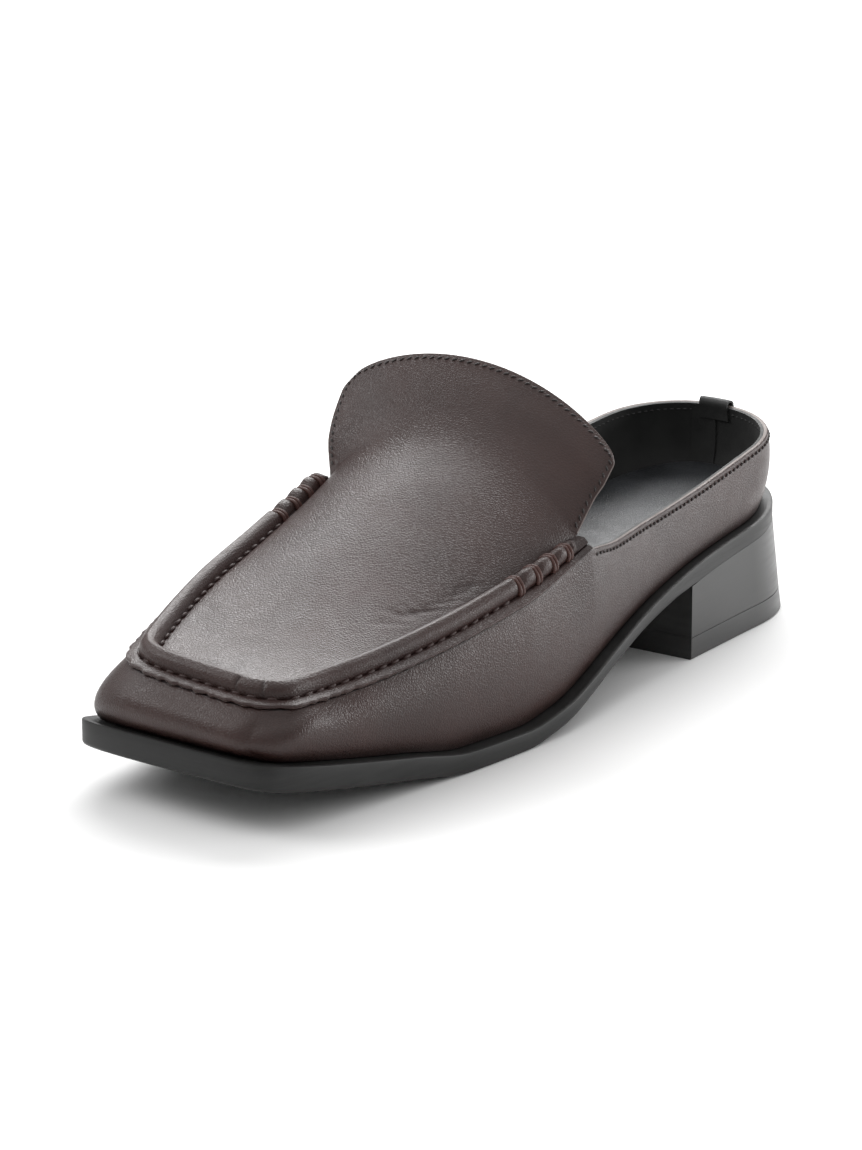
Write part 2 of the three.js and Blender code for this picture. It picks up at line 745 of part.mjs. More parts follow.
const shoe = new THREE.Group();
function piece(name, geometry, material) {
  const mesh = new THREE.Mesh(geometry, material);
  mesh.name = name;
  shoe.add(mesh);
}

piece("outsole", outsoleShape, blackSole);
piece("heel_block", heelBlockShape, blackSole);
piece("heel_top_piece", topPieceShape, blackSole);
piece("insole", insoleShape, blackLining);
piece("upper", upperGeometry(), brownLeather);
piece("heel_tab", tabGeometry(), blackLining);

// The origin lies on the floor under the middle of the shoe's box.
const middle = new THREE.Box3().setFromObject(shoe).getCenter(new THREE.Vector3());
shoe.position.set(-middle.x, -middle.y, 0);

export default shoe;
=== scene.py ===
# A left loafer mule: brown leather, black lining, black sole and heel
import math
import bpy
import numpy as np
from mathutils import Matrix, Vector


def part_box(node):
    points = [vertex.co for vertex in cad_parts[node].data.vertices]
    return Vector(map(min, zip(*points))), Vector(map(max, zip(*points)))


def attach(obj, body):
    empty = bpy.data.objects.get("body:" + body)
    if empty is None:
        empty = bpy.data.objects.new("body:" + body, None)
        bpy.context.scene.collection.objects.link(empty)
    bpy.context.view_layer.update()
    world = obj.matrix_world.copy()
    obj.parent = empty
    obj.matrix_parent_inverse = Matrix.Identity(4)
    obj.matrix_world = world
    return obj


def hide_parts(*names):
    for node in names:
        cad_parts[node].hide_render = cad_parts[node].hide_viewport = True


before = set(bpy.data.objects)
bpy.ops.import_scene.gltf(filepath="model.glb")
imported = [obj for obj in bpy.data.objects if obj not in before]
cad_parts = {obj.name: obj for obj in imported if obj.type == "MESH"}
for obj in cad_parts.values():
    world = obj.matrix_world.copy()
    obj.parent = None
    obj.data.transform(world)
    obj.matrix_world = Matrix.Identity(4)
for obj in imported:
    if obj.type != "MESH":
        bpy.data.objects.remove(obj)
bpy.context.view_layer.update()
mm = 0.001

form = {
    "soleLength": 260, "ballWidth": 85.6, "toeSpring": 12.7, "soleEdge": 7.4, "waistEdge": 5,
    "heelHeight": 26.2, "heelLength": 70, "heelRake": 4, "heelFlare": 2.2, "topPiece": 6.5,
    "toeSlant": 0.05, "slantLength": 60, "toeCorner": 8.5, "heelRound": 34,
    "throatHeight": 50, "instepHeight": 93, "collarHeight": 56,
    "rollHeight": 3.6, "rollWidth": 4.4, "flangeWidth": 6.2,
    "toeSetback": 13, "apronCorner": 9, "collarSetback": 2.2, "collarRound": 27,
    "footbed": 3.5, "wall": 2.2, "gap": 0.3, "sideGap": 0.5, "ledge": 4.6,
    "toeSquareness": 3.8, "heelSquareness": 2.25, "toeCrowding": 1.4, "flankCrowding": 1.35,
    "bulgeLow": 0.3, "bulgeHigh": 0.34, "toeBlend": 0.3, "edgeGather": 0.5, "foldRound": 11,
}
sides = {"lateral": 1, "medial": -1}
throatAt = {"lateral": 0.5, "medial": 0.455}  # shares of the sole's length
halfBall = form["ballWidth"] / 2

fine = 6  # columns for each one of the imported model
toeColumns, vampColumns, backColumns, tongueRows = 8 * fine, 22 * fine, 19 * fine, 8 * fine
throatColumn = toeColumns + vampColumns
halfColumns = throatColumn + backColumns
ringColumns = 2 * halfColumns
easeColumns = 2.5 * fine  # the topline eases into the flange over these

# shares of the sizes above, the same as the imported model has
soleTable = {
    "along": (0.01, 0.05, 0.11, 0.215, 0.33, 0.385, 0.445, 0.5, 0.56, 0.62, 0.677, 0.785, 0.89, 1),
    "lateral": (0.64, 0.715, 0.785, 0.879, 0.963, 0.988, 1, 0.975, 0.925, 0.877, 0.838, 0.783, 0.74, 0.72),
    "medial": (0.88, 0.9, 0.915, 0.955, 1, 0.99, 0.93, 0.838, 0.745, 0.686, 0.656, 0.65, 0.643, 0.62),
}
liftTable = {
    "along": (0, 0.092, 0.204, 0.29, 0.377, 0.431, 0.538, 0.654, 0.769, 0.892, 1),
    "toe": (1, 0.638, 0.26, 0, 0, 0, 0, 0, 0, 0, 0),
    "heel": (0, 0, 0, 0, 0, 0.08, 0.385, 0.69, 0.888, 1, 1.153),
    "edge": (1, 0.83, 0.58, 0.33, 0.17, 0.08, 0, 0, 0, 0, 0),
}
wallTable = {
    "along": (0, 0.12, 0.4, 0.55, 0.8, 1),
    "inset": (0.8, 0.9, 0.95, 0.85, 0.65, 0.65),
    "swell": (0.95, 0.75, 0.85, 0.8, 0.5, 0.55),
    "shoulder": (1.6, 1.05, 0.75, 0.5, 0.3, 0.35),
}
crestTable = {
    "along": (0.05, 0.1, 0.16, 0.225, 0.3, 0.38, 0.44, 0.5),
    "lateral": (0.49, 0.53, 0.622, 0.7, 0.77, 0.822, 0.848, 0.868),
    "medial": (0.52, 0.63, 0.735, 0.82, 0.892, 0.948, 0.98, 1),
    "lateralHeight": (0.75, 0.752, 0.778, 0.82, 0.88, 0.955, 1.013, 1.075),
    "medialHeight": (0.805, 0.845, 0.9, 0.966, 1.03, 1.118, 1.2, 1.28),
}
slopeTable = {
    "along": (0.03, 0.2, 0.38, 0.46, 0.5),
    "run": (0.93, 0.8, 0.7, 0.62, 0.7),
    "drop": (0.36, 0.54, 0.68, 0.78, 0.7),
    "reach": (1.08, 1, 1, 0.72, 0.55),
}
collarTable = {
    "along": (0.455, 0.5, 0.57, 0.65, 0.75, 0.85, 0.94, 1),
    "lateral": (0.94, 0.925, 0.86, 0.785, 0.735, 0.7, 0.66, 0.6),
    "medial": (1.045, 0.975, 0.85, 0.74, 0.66, 0.61, 0.57, 0.53),
    "lateralHeight": (0.875, 0.868, 0.822, 0.828, 0.858, 0.915, 0.97, 1),
    "medialHeight": (0.985, 0.935, 0.89, 0.88, 0.9, 0.94, 0.98, 1),
}
crownTable = {
    "along": (0, 0.25, 0.5, 0.75, 1, 1.25, 1.5, 1.75, 2),
    "arch": (0, 0.012, 0.05, 0.125, 0.196, 0.18, 0.168, 0.158, 0.149),
    "bow": (0, 0, 0, 0.01, 0.02, 0.026, 0.031, 0.034, 0.035),
    "fullness": (1, 1, 0.95, 0.9, 0.85, 0.8, 0.8, 0.8, 0.8),
}
tongueTable = {
    "lateral": {"step": (1.25, 1.5, 1.75, 2), "out": (0.81, 0.835, 0.835, 0.8),
                "along": (0.533, 0.55, 0.565, 0.573), "height": (0.63, 0.68, 0.72, 0.745)},
    "medial": {"step": (1.25, 1.5, 1.75, 2), "out": (1.04, 1.075, 1.085, 1.04),
               "along": (0.479, 0.499, 0.515, 0.53), "height": (0.73, 0.8, 0.851, 0.894)},
}


def curve(xs, ys):
    # smooth curve through a table, level where two entries are equal
    x, y = np.array(xs, float), np.array(ys, float)
    gap, slope = np.diff(x), np.diff(y) / np.diff(x)
    tangent = np.zeros(len(x))
    tangent[0], tangent[-1] = slope[0], slope[-1]
    for i in range(1, len(x) - 1):
        if slope[i - 1] * slope[i] > 0:
            before, after = 2 * gap[i] + gap[i - 1], gap[i] + 2 * gap[i - 1]
            tangent[i] = (before + after) / (before / slope[i - 1] + after / slope[i])

    def at(value):
        v = np.clip(value, x[0], x[-1])
        i = np.clip(np.searchsorted(x, v, side="left") - 1, 0, len(gap) - 1)
        t = (v - x[i]) / gap[i]
        rise = 3 * t ** 2 - 2 * t ** 3
        bend = gap[i] * (tangent[i] * t * (1 - t) ** 2 - tangent[i + 1] * t ** 2 * (1 - t))
        return y[i] * (1 - rise) + y[i + 1] * rise + bend
    return at


def column(table, key):
    return curve(table["along"], table[key])


soleHalf = {s: column(soleTable, s) for s in sides}
crestHalf = {s: column(crestTable, s) for s in sides}
crestLift = {s: column(crestTable, s + "Height") for s in sides}
collarHalf = {s: column(collarTable, s) for s in sides}
collarLift = {s: column(collarTable, s + "Height") for s in sides}
toeLift, heelLift, edgeShare = (column(liftTable, k) for k in ("toe", "heel", "edge"))
insetShare, swellShare, shoulderShare = (column(wallTable, k) for k in ("inset", "swell", "shoulder"))
slopeRun, slopeDrop, slopeReach = (column(slopeTable, k) for k in ("run", "drop", "reach"))
crownArch, crownBow, crownFullness = (column(crownTable, k) for k in ("arch", "bow", "fullness"))


def underside(back):
    share = back / form["soleLength"]
    return form["toeSpring"] * toeLift(share) + form["heelHeight"] * heelLift(share)


def soleTop(back):
    thin, full = form["waistEdge"], form["soleEdge"]
    return underside(back) + thin + (full - thin) * edgeShare(back / form["soleLength"])


def point(across, back, height):
    fade = np.maximum(0, 1 - back / form["slantLength"]) ** 2
    return np.stack([across, back - form["toeSlant"] * across * fade, height + 0 * back], -1)


def bell(value, width, power=2):
    return np.exp(-(value / width) ** power)


def unit(v):
    return v / np.maximum(np.linalg.norm(v, axis=-1, keepdims=True), 1e-9)


def travelAlong(line):
    # mm from the first point of a line to each of its points
    return np.concatenate([[0], np.cumsum(np.linalg.norm(np.diff(line, axis=0), axis=1))])


def between(at, places, rows):
    # the rows read off between their places
    return np.stack([np.interp(at, places, rows[:, k]) for k in range(rows.shape[1])], -1)


def spaced(chain, count, crowding=lambda t: t):
    travel = travelAlong(chain)
    return between(travel[-1] * crowding(np.linspace(0, 1, count + 1)), travel, chain)


def placer(side, half, height):
    other = "medial" if side == "lateral" else "lateral"

    def place(across, back):
        middle = (height(side, back) + height(other, back)) / 2
        own = middle + (height(side, back) - middle) * across
        return point(sides[side] * half(side, back) * across, back, own)
    return place


chainSteps = np.linspace(0, 1, 400)


def frontStretch(side, half, front, corner, height):
    # from the middle of the squarish toe round its corner to the throat
    place = placer(side, half, height)
    power = 2 / form["toeSquareness"]

    def turn(angle):
        return place(np.sin(angle) ** power, front + corner * (1 - np.abs(np.cos(angle)) ** power))
    start, throat = front + corner, throatAt[side] * form["soleLength"]
    flank = place(np.ones_like(chainSteps), start + (throat - start) * chainSteps)[1:]
    toe = spaced(turn(math.pi / 4 * chainSteps), toeColumns, lambda t: 1 - (1 - t) ** form["toeCrowding"])
    rest = np.concatenate([turn(math.pi / 4 * (1 + chainSteps)), flank])
    return np.concatenate([toe, spaced(rest, vampColumns, lambda t: t ** form["flankCrowding"])[1:]])


def backStretch(side, half, back, depth, height):
    # from the throat round to the middle of the heel
    place = placer(side, half, height)
    power = 2 / form["heelSquareness"]
    throat, end = throatAt[side] * form["soleLength"], back - depth
    angle = math.pi / 2 * (1 - chainSteps[1:])
    rear = place(np.ones_like(chainSteps), throat + (end - throat) * chainSteps)
    heel = place(np.sin(angle) ** power, end + depth * np.abs(np.cos(angle)) ** power)
    return spaced(np.concatenate([rear, heel]), backColumns)


def ringOf(lateral, medial):
    return np.concatenate([lateral, medial[1:-1][::-1]])


def sized(curves, size):
    # a table's curves for both sides, read at mm from the toe and given in mm
    return lambda side, back: curves[side](back / form["soleLength"]) * size


def soleRing(inset, height):
    # closed outline of the sole drawn in by an inset
    halves = []
    sole = sized(soleHalf, halfBall)
    for side in sides:
        half = lambda s, back: sole(s, back) - inset(back)
        tall = lambda s, back: height(back)
        front = frontStretch(side, half, inset(0), form["toeCorner"], tall)
        end = form["soleLength"] - inset(form["soleLength"])
        rear = backStretch(side, half, end, form["heelRound"], tall)
        halves.append(np.concatenate([front, rear[1:]]))
    return ringOf(*halves)


def feather(back):
    return form["ledge"] * insetShare(back / form["soleLength"])


def outwardOf(line, closed):
    if closed:
        run = np.roll(line, -1, axis=0) - np.roll(line, 1, axis=0)
    else:
        run = np.gradient(line, axis=0)
    return unit(np.stack([run[:, 1], -run[:, 0], 0 * run[:, 0]], -1))


up = np.array([0.0, 0.0, 1.0])


def seamLine():
    # frames along the seam, from the inner throat round the toe to the outer throat
    halves, half, crest = {}, sized(crestHalf, halfBall), sized(crestLift, form["throatHeight"])
    tall = lambda s, back: crest(s, back) - form["rollHeight"]
    for side in sides:
        halves[side] = frontStretch(side, half, form["toeSetback"], form["apronCorner"], tall)
    foot = np.concatenate([halves["medial"][::-1], halves["lateral"][1:]])
    out = outwardOf(foot, False)
    share = foot[:, 1] / form["soleLength"]
    run, drop = slopeRun(share)[:, None], slopeDrop(share)[:, None]
    return {
        "foot": foot, "out": out, "slope": unit(out * run - up * drop), "rise": unit(out * drop + up * run),
        "reach": (form["flangeWidth"] * slopeReach(share))[:, None],
    }


seam = seamLine()
wallFoot = soleRing(feather, lambda back: soleTop(back) + form["gap"])
wallOut = outwardOf(wallFoot, True)


def wallTopRing():
    halves, half, tall = {}, sized(collarHalf, halfBall), sized(collarLift, form["collarHeight"])
    edge = seam["foot"] + seam["slope"] * seam["reach"]
    for side, sign in sides.items():
        front = edge[throatColumn:] if sign > 0 else edge[:throatColumn + 1][::-1]
        rear = backStretch(side, half, form["soleLength"] - form["collarSetback"], form["collarRound"], tall)
        fade = np.clip(1 - np.arange(backColumns + 1) / easeColumns, 0, 1)[:, None] ** 2
        rear = rear + (front[-1] - rear[0]) * fade
        halves[side] = np.concatenate([front, rear[1:]])
    return ringOf(halves["lateral"], halves["medial"])


wallTop = wallTopRing()


def wallPoints(t):
    # the outside of the wall all round; t runs from its foot (0) to its top (1)
    t = np.reshape(t, (-1, 1))
    share = wallFoot[:, 1] / form["soleLength"]
    tall = (wallTop[:, 2] - wallFoot[:, 2])[:, None]
    low = wallFoot + wallOut * (form["ledge"] * swellShare(share))[:, None] + up * tall * form["bulgeLow"]
    high = wallTop + wallOut * (form["ledge"] * shoulderShare(share))[:, None] - up * tall * form["bulgeHigh"]
    left = 1 - t
    return wallFoot * left ** 3 + 3 * low * t * left ** 2 + 3 * high * t ** 2 * left + wallTop * t ** 3


seamArc = travelAlong(seam["foot"])
seamArc = seamArc - seamArc[throatColumn]  # mm from the middle of the toe, minus on the inner side


def seamAt(arcs):
    # the seam's frames at any distance from the middle of the toe
    return {key: between(arcs, seamArc, values) for key, values in seam.items()}


def seamPoints(outside, inside, rise, lean, at=seam):
    outside, inside, rise, lean = (np.reshape(v, (-1, 1)) for v in (outside, inside, rise, lean))
    normal = unit(at["rise"] * (1 - lean) + up * lean)
    return (at["foot"] + at["slope"] * at["reach"] * outside - at["out"] * form["rollWidth"] * inside
            + normal * form["rollHeight"] * rise)


apronStart = 0.62  # where the apron begins inside the seam, in widths of the roll
apronFoot = seamPoints(0, apronStart, 0, 1)


def tongueSide(side):
    start = apronFoot[2 * throatColumn if sides[side] > 0 else 0]
    table = tongueTable[side]
    steps = (1,) + table["step"]
    across = curve(steps, (start[0],) + tuple(sides[side] * halfBall * v for v in table["out"]))
    back = curve(steps, (start[1],) + tuple(form["soleLength"] * v for v in table["along"]))
    height = curve(steps, (start[2],) + tuple(form["instepHeight"] * v for v in table["height"]))
    return lambda step: point(across(step), back(step), height(step))


apronRows = vampColumns + tongueRows


def apronEdges():
    rows = np.arange(apronRows + 1)
    steps = np.where(rows <= vampColumns, rows / vampColumns, 1 + (rows - vampColumns) / tongueRows)
    edges = {}
    for side, sign in sides.items():
        along = throatColumn + sign * (toeColumns + np.minimum(rows, vampColumns))
        edges[side] = np.where((steps <= 1)[:, None], apronFoot[along], tongueSide(side)(steps))
    return steps, edges


def softened(grid):
    # the fold between apron and tongue evened out along each column; the sheet's edges stay put
    after, before = np.concatenate([grid[1:], grid[-1:]]), np.concatenate([grid[:1], grid[:-1]])
    spans = np.linalg.norm(after - before, axis=2)
    across = np.linspace(-1, 1, grid.shape[1])
    even = np.empty_like(grid)
    for i in range(grid.shape[1]):
        line = grid[:, i]
        apart = np.linalg.norm(line[:, None] - line[None], axis=2)
        weight = spans[:, i] * bell(apart, form["foldRound"])
        mean = weight @ line / weight.sum(axis=1, keepdims=True)
        toEnds = np.minimum(apart[:, 0], apart[:, -1]) / (2 * form["foldRound"])
        pull = (1 - across[i] ** 4) * np.minimum(1, toEnds)
        even[:, i] = line + (mean - line) * pull[:, None]
    return even


def apronGrid(width):
    # rows of points from the toe of the apron to the rear edge of the tongue
    steps, edges = apronEdges()
    across = np.linspace(0, 1, width + 1)
    gather = form["edgeGather"] * np.minimum(1, steps)[:, None]
    share = across + gather * ((1 - np.cos(math.pi * across)) / 2 - across)
    grid = edges["medial"][:, None] * (1 - share[..., None]) + edges["lateral"][:, None] * share[..., None]
    toeAt = throatColumn + (2 * across - 1) * toeColumns
    toe = between(toeAt, np.arange(len(apronFoot)), apronFoot)
    flat = edges["medial"][0] * (1 - across)[:, None] + edges["lateral"][0] * across[:, None]
    fade = np.maximum(0, 1 - steps / form["toeBlend"]) ** 2
    grid = grid + (toe - flat)[None] * fade[:, None, None]
    shape = np.maximum(0, 1 - (2 * share - 1) ** 2) ** crownFullness(steps)[:, None]
    grid[..., 2] += (crownArch(steps) * form["instepHeight"])[:, None] * shape
    grid[..., 1] += (crownBow(steps) * form["instepHeight"])[:, None] * shape
    return softened(grid)


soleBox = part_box("outsole")
soleEdgeRing = soleRing(lambda back: 0 * back, soleTop)
shift = np.array([  # from the shoe's own plan to the shared frame
    (soleBox[0].x + soleBox[1].x) / 2 / mm - (soleEdgeRing[:, 0].min() + soleEdgeRing[:, 0].max()) / 2,
    soleBox[0].y / mm - soleEdgeRing[:, 1].min(), 0,
])
print("surfaces worked out")


def addObject(name, data):
    thing = bpy.data.objects.new(name, data)
    bpy.context.scene.collection.objects.link(thing)
    return thing


def addPiece(name, points, faces, materials, nodes=(), faceMaterial=None, masks=None, crease=40):
    mesh = bpy.data.meshes.new(name)
    mesh.from_pydata(((np.asarray(points).reshape(-1, 3) + shift) * mm).tolist(), [], faces)
    for material in materials:
        mesh.materials.append(material)
    if faceMaterial is not None:
        mesh.polygons.foreach_set("material_index", np.asarray(faceMaterial, dtype=np.int32))
    for key, values in (masks or {}).items():
        layer = mesh.attributes.new(key, "FLOAT", "POINT")
        layer.data.foreach_set("value", np.asarray(values, dtype=np.float32).ravel())
    mesh.shade_smooth()
    mesh.set_sharp_from_angle(angle=math.radians(crease))
    mesh.validate()
    piece = addObject(name, mesh)
    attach(piece, "root")
    if nodes:
        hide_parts(*nodes)


def gridFaces(index, closed=False):
    # quads over rows of vertex numbers
    nxt = np.roll(index, -1, axis=1) if closed else index[:, 1:]
    here = index if closed else index[:, :-1]
    return np.stack([here[:-1], nxt[:-1], nxt[1:], here[1:]], -1).reshape(-1, 4)


def vertexNormals(points, faces):
    a, b, c, d = (points[faces[:, k]] for k in range(4))
    across = np.cross(c - a, d - b)
    total = np.zeros_like(points)
    for k in range(4):
        np.add.at(total, faces[:, k], across)
    return unit(total)


def closedShell(outer, inner, faces):
    # a sheet, its turned copy and the strips between their open edges, which are the last faces
    count = len(outer)
    edges = np.concatenate([faces[:, [k, (k + 1) % 4]] for k in range(4)])
    known = set(map(tuple, edges.tolist()))
    rim = sorted((p, q, q + count, p + count)[::-1] for p, q in known if (q, p) not in known)
    everything = faces.tolist() + (faces[:, ::-1] + count).tolist() + rim
    return np.concatenate([outer, inner]), everything, len(rim)


# Materials
def wire(tree, value, socket):
    if isinstance(value, bpy.types.NodeSocket):
        tree.links.new(value, socket)
    else:
        socket.default_value = value


def addNode(tree, kind, settings=None, inputs=None):
    node = tree.nodes.new(kind)
    for key, value in (settings or {}).items():
        setattr(node, key, value)
    for key, value in (inputs or {}).items():
        wire(tree, value, node.inputs[key])
    return node


def maths(tree, operation, a, b=0.0):
    return addNode(tree, "ShaderNodeMath", {"operation": operation}, {0: a, 1: b}).outputs[0]


def blendColours(tree, factor, a, b):
    return addNode(tree, "ShaderNodeMix", {"data_type": "RGBA"}, {0: factor, 6: a, 7: b}).outputs[2]


def remap(tree, value, low, high, start=0.0, end=1.0):
    ends = {"Value": value, "From Min": low, "From Max": high, "To Min": start, "To Max": end}
    return addNode(tree, "ShaderNodeMapRange", None, ends).outputs[0]


def noise(tree, place, scale, detail=3.0, roughness=0.5):
    values = {"Vector": place, "Scale": scale, "Detail": detail, "Roughness": roughness}
    return addNode(tree, "ShaderNodeTexNoise", None, values).outputs["Fac"]


def mask(tree, name):
    return addNode(tree, "ShaderNodeAttribute", {"attribute_name": name}).outputs["Fac"]


def makeGroup(name, inputs, outputs):
    group = bpy.data.node_groups.new(name, "ShaderNodeTree")
    for label, value in inputs.items():
        socket = group.interface.new_socket(name=label, in_out="INPUT", socket_type="NodeSocketFloat")
        socket.default_value = value
    for label in outputs:
        group.interface.new_socket(name=label, in_out="OUTPUT", socket_type="NodeSocketFloat")
    entry, leave = group.nodes.new("NodeGroupInput"), group.nodes.new("NodeGroupOutput")
    return group, entry.outputs, leave.inputs


def useGroup(tree, group, values):
    node = tree.nodes.new("ShaderNodeGroup")
    node.node_tree = group
    for key, value in values.items():
        wire(tree, value, node.inputs[key])
    return node.outputs


def objectPlace(tree):
    return addNode(tree, "ShaderNodeTexCoord").outputs["Object"]


# the numbers of each effect: scales are per metre, ends are where a tone begins and is full
pores = {
    "warpScale": 700.0, "warp": 0.0006, "foldWidth": 0.22, "foldShare": 0.6,
    "finer": 1.7, "toneScale": 38.0, "glossScale": 160.0, "toneEnds": (0.3, 0.7),
}
buffing = {"spread": 28.0, "markScale": 55.0, "toneEnds": (0.38, 0.62)}
nap = {"toneScale": 120.0, "toneEnds": (0.35, 0.68)}
twist = {"distortion": 1.5}


def makeLeatherGrain():
    # pores and hair cells of smooth leather, with its slow changes of tone and gloss
    tree, given, put = makeGroup("leatherGrain", {"Pores Per Metre": 1500, "Softness": 0.5},
                                 ("Height", "Tone", "Gloss"))
    place = objectPlace(tree)
    warp = addNode(tree, "ShaderNodeTexNoise", None, {"Vector": place, "Scale": pores["warpScale"]})
    push = addNode(tree, "ShaderNodeVectorMath", {"operation": "SCALE"},
                   {0: warp.outputs["Color"], "Scale": pores["warp"]})
    bent = addNode(tree, "ShaderNodeVectorMath", {"operation": "ADD"}, {0: place, 1: push.outputs[0]})
    cells = addNode(tree, "ShaderNodeTexVoronoi", {"feature": "DISTANCE_TO_EDGE"},
                    {"Vector": bent.outputs[0], "Scale": given["Pores Per Metre"]})
    folds = remap(tree, cells.outputs["Distance"], 0.0, pores["foldWidth"])
    folds = maths(tree, "MULTIPLY", folds, pores["foldShare"])
    fineScale = maths(tree, "MULTIPLY", given["Pores Per Metre"], pores["finer"])
    soft = maths(tree, "MULTIPLY", noise(tree, place, fineScale, 4.0, 0.6), given["Softness"])
    tree.links.new(maths(tree, "ADD", folds, soft), put["Height"])
    slow = noise(tree, place, pores["toneScale"], 4.0, 0.55)
    shine = noise(tree, place, pores["glossScale"], 5.0, 0.6)
    tree.links.new(remap(tree, slow, *pores["toneEnds"]), put["Tone"])
    tree.links.new(remap(tree, shine, *pores["toneEnds"]), put["Gloss"])
    return tree


def makeBuffedLayers():
    # the fine level lines that a buffing wheel leaves on sole and heel edges
    tree, given, put = makeGroup("buffedLayers", {"Layers Per Metre": 900}, ("Height", "Tone"))
    level = {"X": buffing["spread"], "Y": buffing["spread"], "Z": given["Layers Per Metre"]}
    spread = addNode(tree, "ShaderNodeCombineXYZ", None, level)
    place = addNode(tree, "ShaderNodeVectorMath", {"operation": "MULTIPLY"},
                    {0: objectPlace(tree), 1: spread.outputs[0]})
    lines = noise(tree, place.outputs[0], 1.0, 4.0, 0.65)
    marks = noise(tree, objectPlace(tree), buffing["markScale"], 5.0, 0.6)
    mean = maths(tree, "MULTIPLY", maths(tree, "ADD", lines, marks), 0.5)
    tree.links.new(lines, put["Height"])
    tree.links.new(remap(tree, mean, *buffing["toneEnds"]), put["Tone"])
    return tree


def makeFineNap():
    # the short nap and lint of the lining
    tree, given, put = makeGroup("fineNap", {"Fibres Per Metre": 2600}, ("Height", "Tone"))
    place = objectPlace(tree)
    tree.links.new(noise(tree, place, given["Fibres Per Metre"], 3.0, 0.7), put["Height"])
    lint = noise(tree, place, nap["toneScale"], 6.0, 0.7)
    tree.links.new(remap(tree, lint, *nap["toneEnds"]), put["Tone"])
    return tree


def makeThreadTwist():
    # the plies of a waxed thread, with painted shade in the grooves between them
    tree, given, put = makeGroup("threadTwist", {"Turns Per Metre": 1400}, ("Height", "Tone"))
    wave = addNode(tree, "ShaderNodeTexWave", {"wave_type": "BANDS", "bands_direction": "DIAGONAL"}, {
        "Vector": objectPlace(tree), "Scale": given["Turns Per Metre"], "Distortion": twist["distortion"],
    }).outputs["Fac"]
    tree.links.new(wave, put["Height"])
    # painted shade: the tone is the height itself, so the grooves between the plies are darker
    tree.links.new(wave, put["Tone"])
    return tree


leatherGrain, buffedLayers = makeLeatherGrain(), makeBuffedLayers()
fineNap, threadTwist = makeFineNap(), makeThreadTwist()


def startMaterial(name, values):
    # a material with its plain numbers on the shader itself
    material = bpy.data.materials.new(name)
    material.use_nodes = True
    shader = material.node_tree.nodes["Principled BSDF"]
    for key, value in values.items():
        shader.inputs[key].default_value = value
    return material, material.node_tree, shader


def addBump(tree, shader, height, strength, distance):
    values = {"Height": height, "Strength": strength, "Distance": distance}
    bump = addNode(tree, "ShaderNodeBump", None, values)
    tree.links.new(bump.outputs[0], shader.inputs["Normal"])


# the near-black "foot" colour is painted shade: creases, seam valleys, pleats, the wall's foot (partly a dark
# edge dressing) and the wall under the flange blend towards it
calf = {
    "dark": (0.0235, 0.0088, 0.007, 1), "light": (0.039, 0.0167, 0.0137, 1),
    "foot": (0.005, 0.003, 0.003, 1), "flap": (0.017, 0.0062, 0.005, 1), "edge": (0.2, 0.165, 0.155, 1),
    "roughness": (0.34, 0.45), "flapRougher": 0.25, "creaseShadeShare": 0.45, "edgeFrom": (0.45, 0.8),
    "pores": 1200.0, "softness": 0.5, "bump": (0.4, 0.00025),
    "plain": {"Coat Weight": 0.05, "Coat Roughness": 0.25, "Specular IOR Level": 0.44},
}


def makeCalf():
    # brown leather with painted shade: darker in its creases, seam valleys and pleats, at its foot (partly a
    # dark edge dressing there) and under the flange; pale at its cut edges
    material, tree, shader = startMaterial("brown_calf", calf["plain"])
    grain = useGroup(tree, leatherGrain, {"Pores Per Metre": calf["pores"], "Softness": calf["softness"]})
    creaseShade = maths(tree, "MULTIPLY", mask(tree, "crease"), calf["creaseShadeShare"])
    colour = blendColours(tree, grain["Tone"], calf["dark"], calf["light"])
    # painted shade in the apron's creases and in the roll's stitch valleys and pleats
    colour = blendColours(tree, creaseShade, colour, calf["foot"])
    colour = blendColours(tree, mask(tree, "flap"), colour, calf["flap"])
    # painted shade at the wall's foot, partly a dark edge dressing, and on the wall under the flange
    colour = blendColours(tree, mask(tree, "foot"), colour, calf["foot"])
    colour = blendColours(tree, remap(tree, mask(tree, "edge"), *calf["edgeFrom"]), colour, calf["edge"])
    wire(tree, colour, shader.inputs["Base Color"])
    rough = remap(tree, grain["Gloss"], 0.0, 1.0, *calf["roughness"])
    flapRough = maths(tree, "MULTIPLY", mask(tree, "flap"), calf["flapRougher"])
    wire(tree, maths(tree, "ADD", rough, flapRough), shader.inputs["Roughness"])
    addBump(tree, shader, grain["Height"], *calf["bump"])
    return material


def makeTwoToned(name, group, given, tones, roughness, bump, plain):
    # any other material: two tones over one effect, which also changes its roughness
    material, tree, shader = startMaterial(name, plain)
    effect = useGroup(tree, group, given)
    gloss = effect["Gloss"] if "Gloss" in effect else effect["Tone"]
    dark, light = tones
    wire(tree, blendColours(tree, effect["Tone"], (*dark, 1), (*light, 1)), shader.inputs["Base Color"])
    wire(tree, remap(tree, gloss, 0.0, 1.0, *roughness), shader.inputs["Roughness"])
    addBump(tree, shader, effect["Height"], *bump)
    return material


def makeGrained(name, dark, light, roughness, pores, depth, plain={}):
    given = {"Pores Per Metre": pores, "Softness": 0.8}
    return makeTwoToned(name, leatherGrain, given, (dark, light), roughness, (0.4, depth), plain)


def makeEdgeBlack(name, dark, light, roughness, layers, depth, plain):
    given = {"Layers Per Metre": layers}
    return makeTwoToned(name, buffedLayers, given, (dark, light), roughness, (0.5, depth), plain)


def makeThread(name, dark, light):
    given, plain = {"Turns Per Metre": 1400.0}, {"Coat Weight": 0.1}
    return makeTwoToned(name, threadTwist, given, (dark, light), (0.6, 0.45), (0.5, 0.0001), plain)


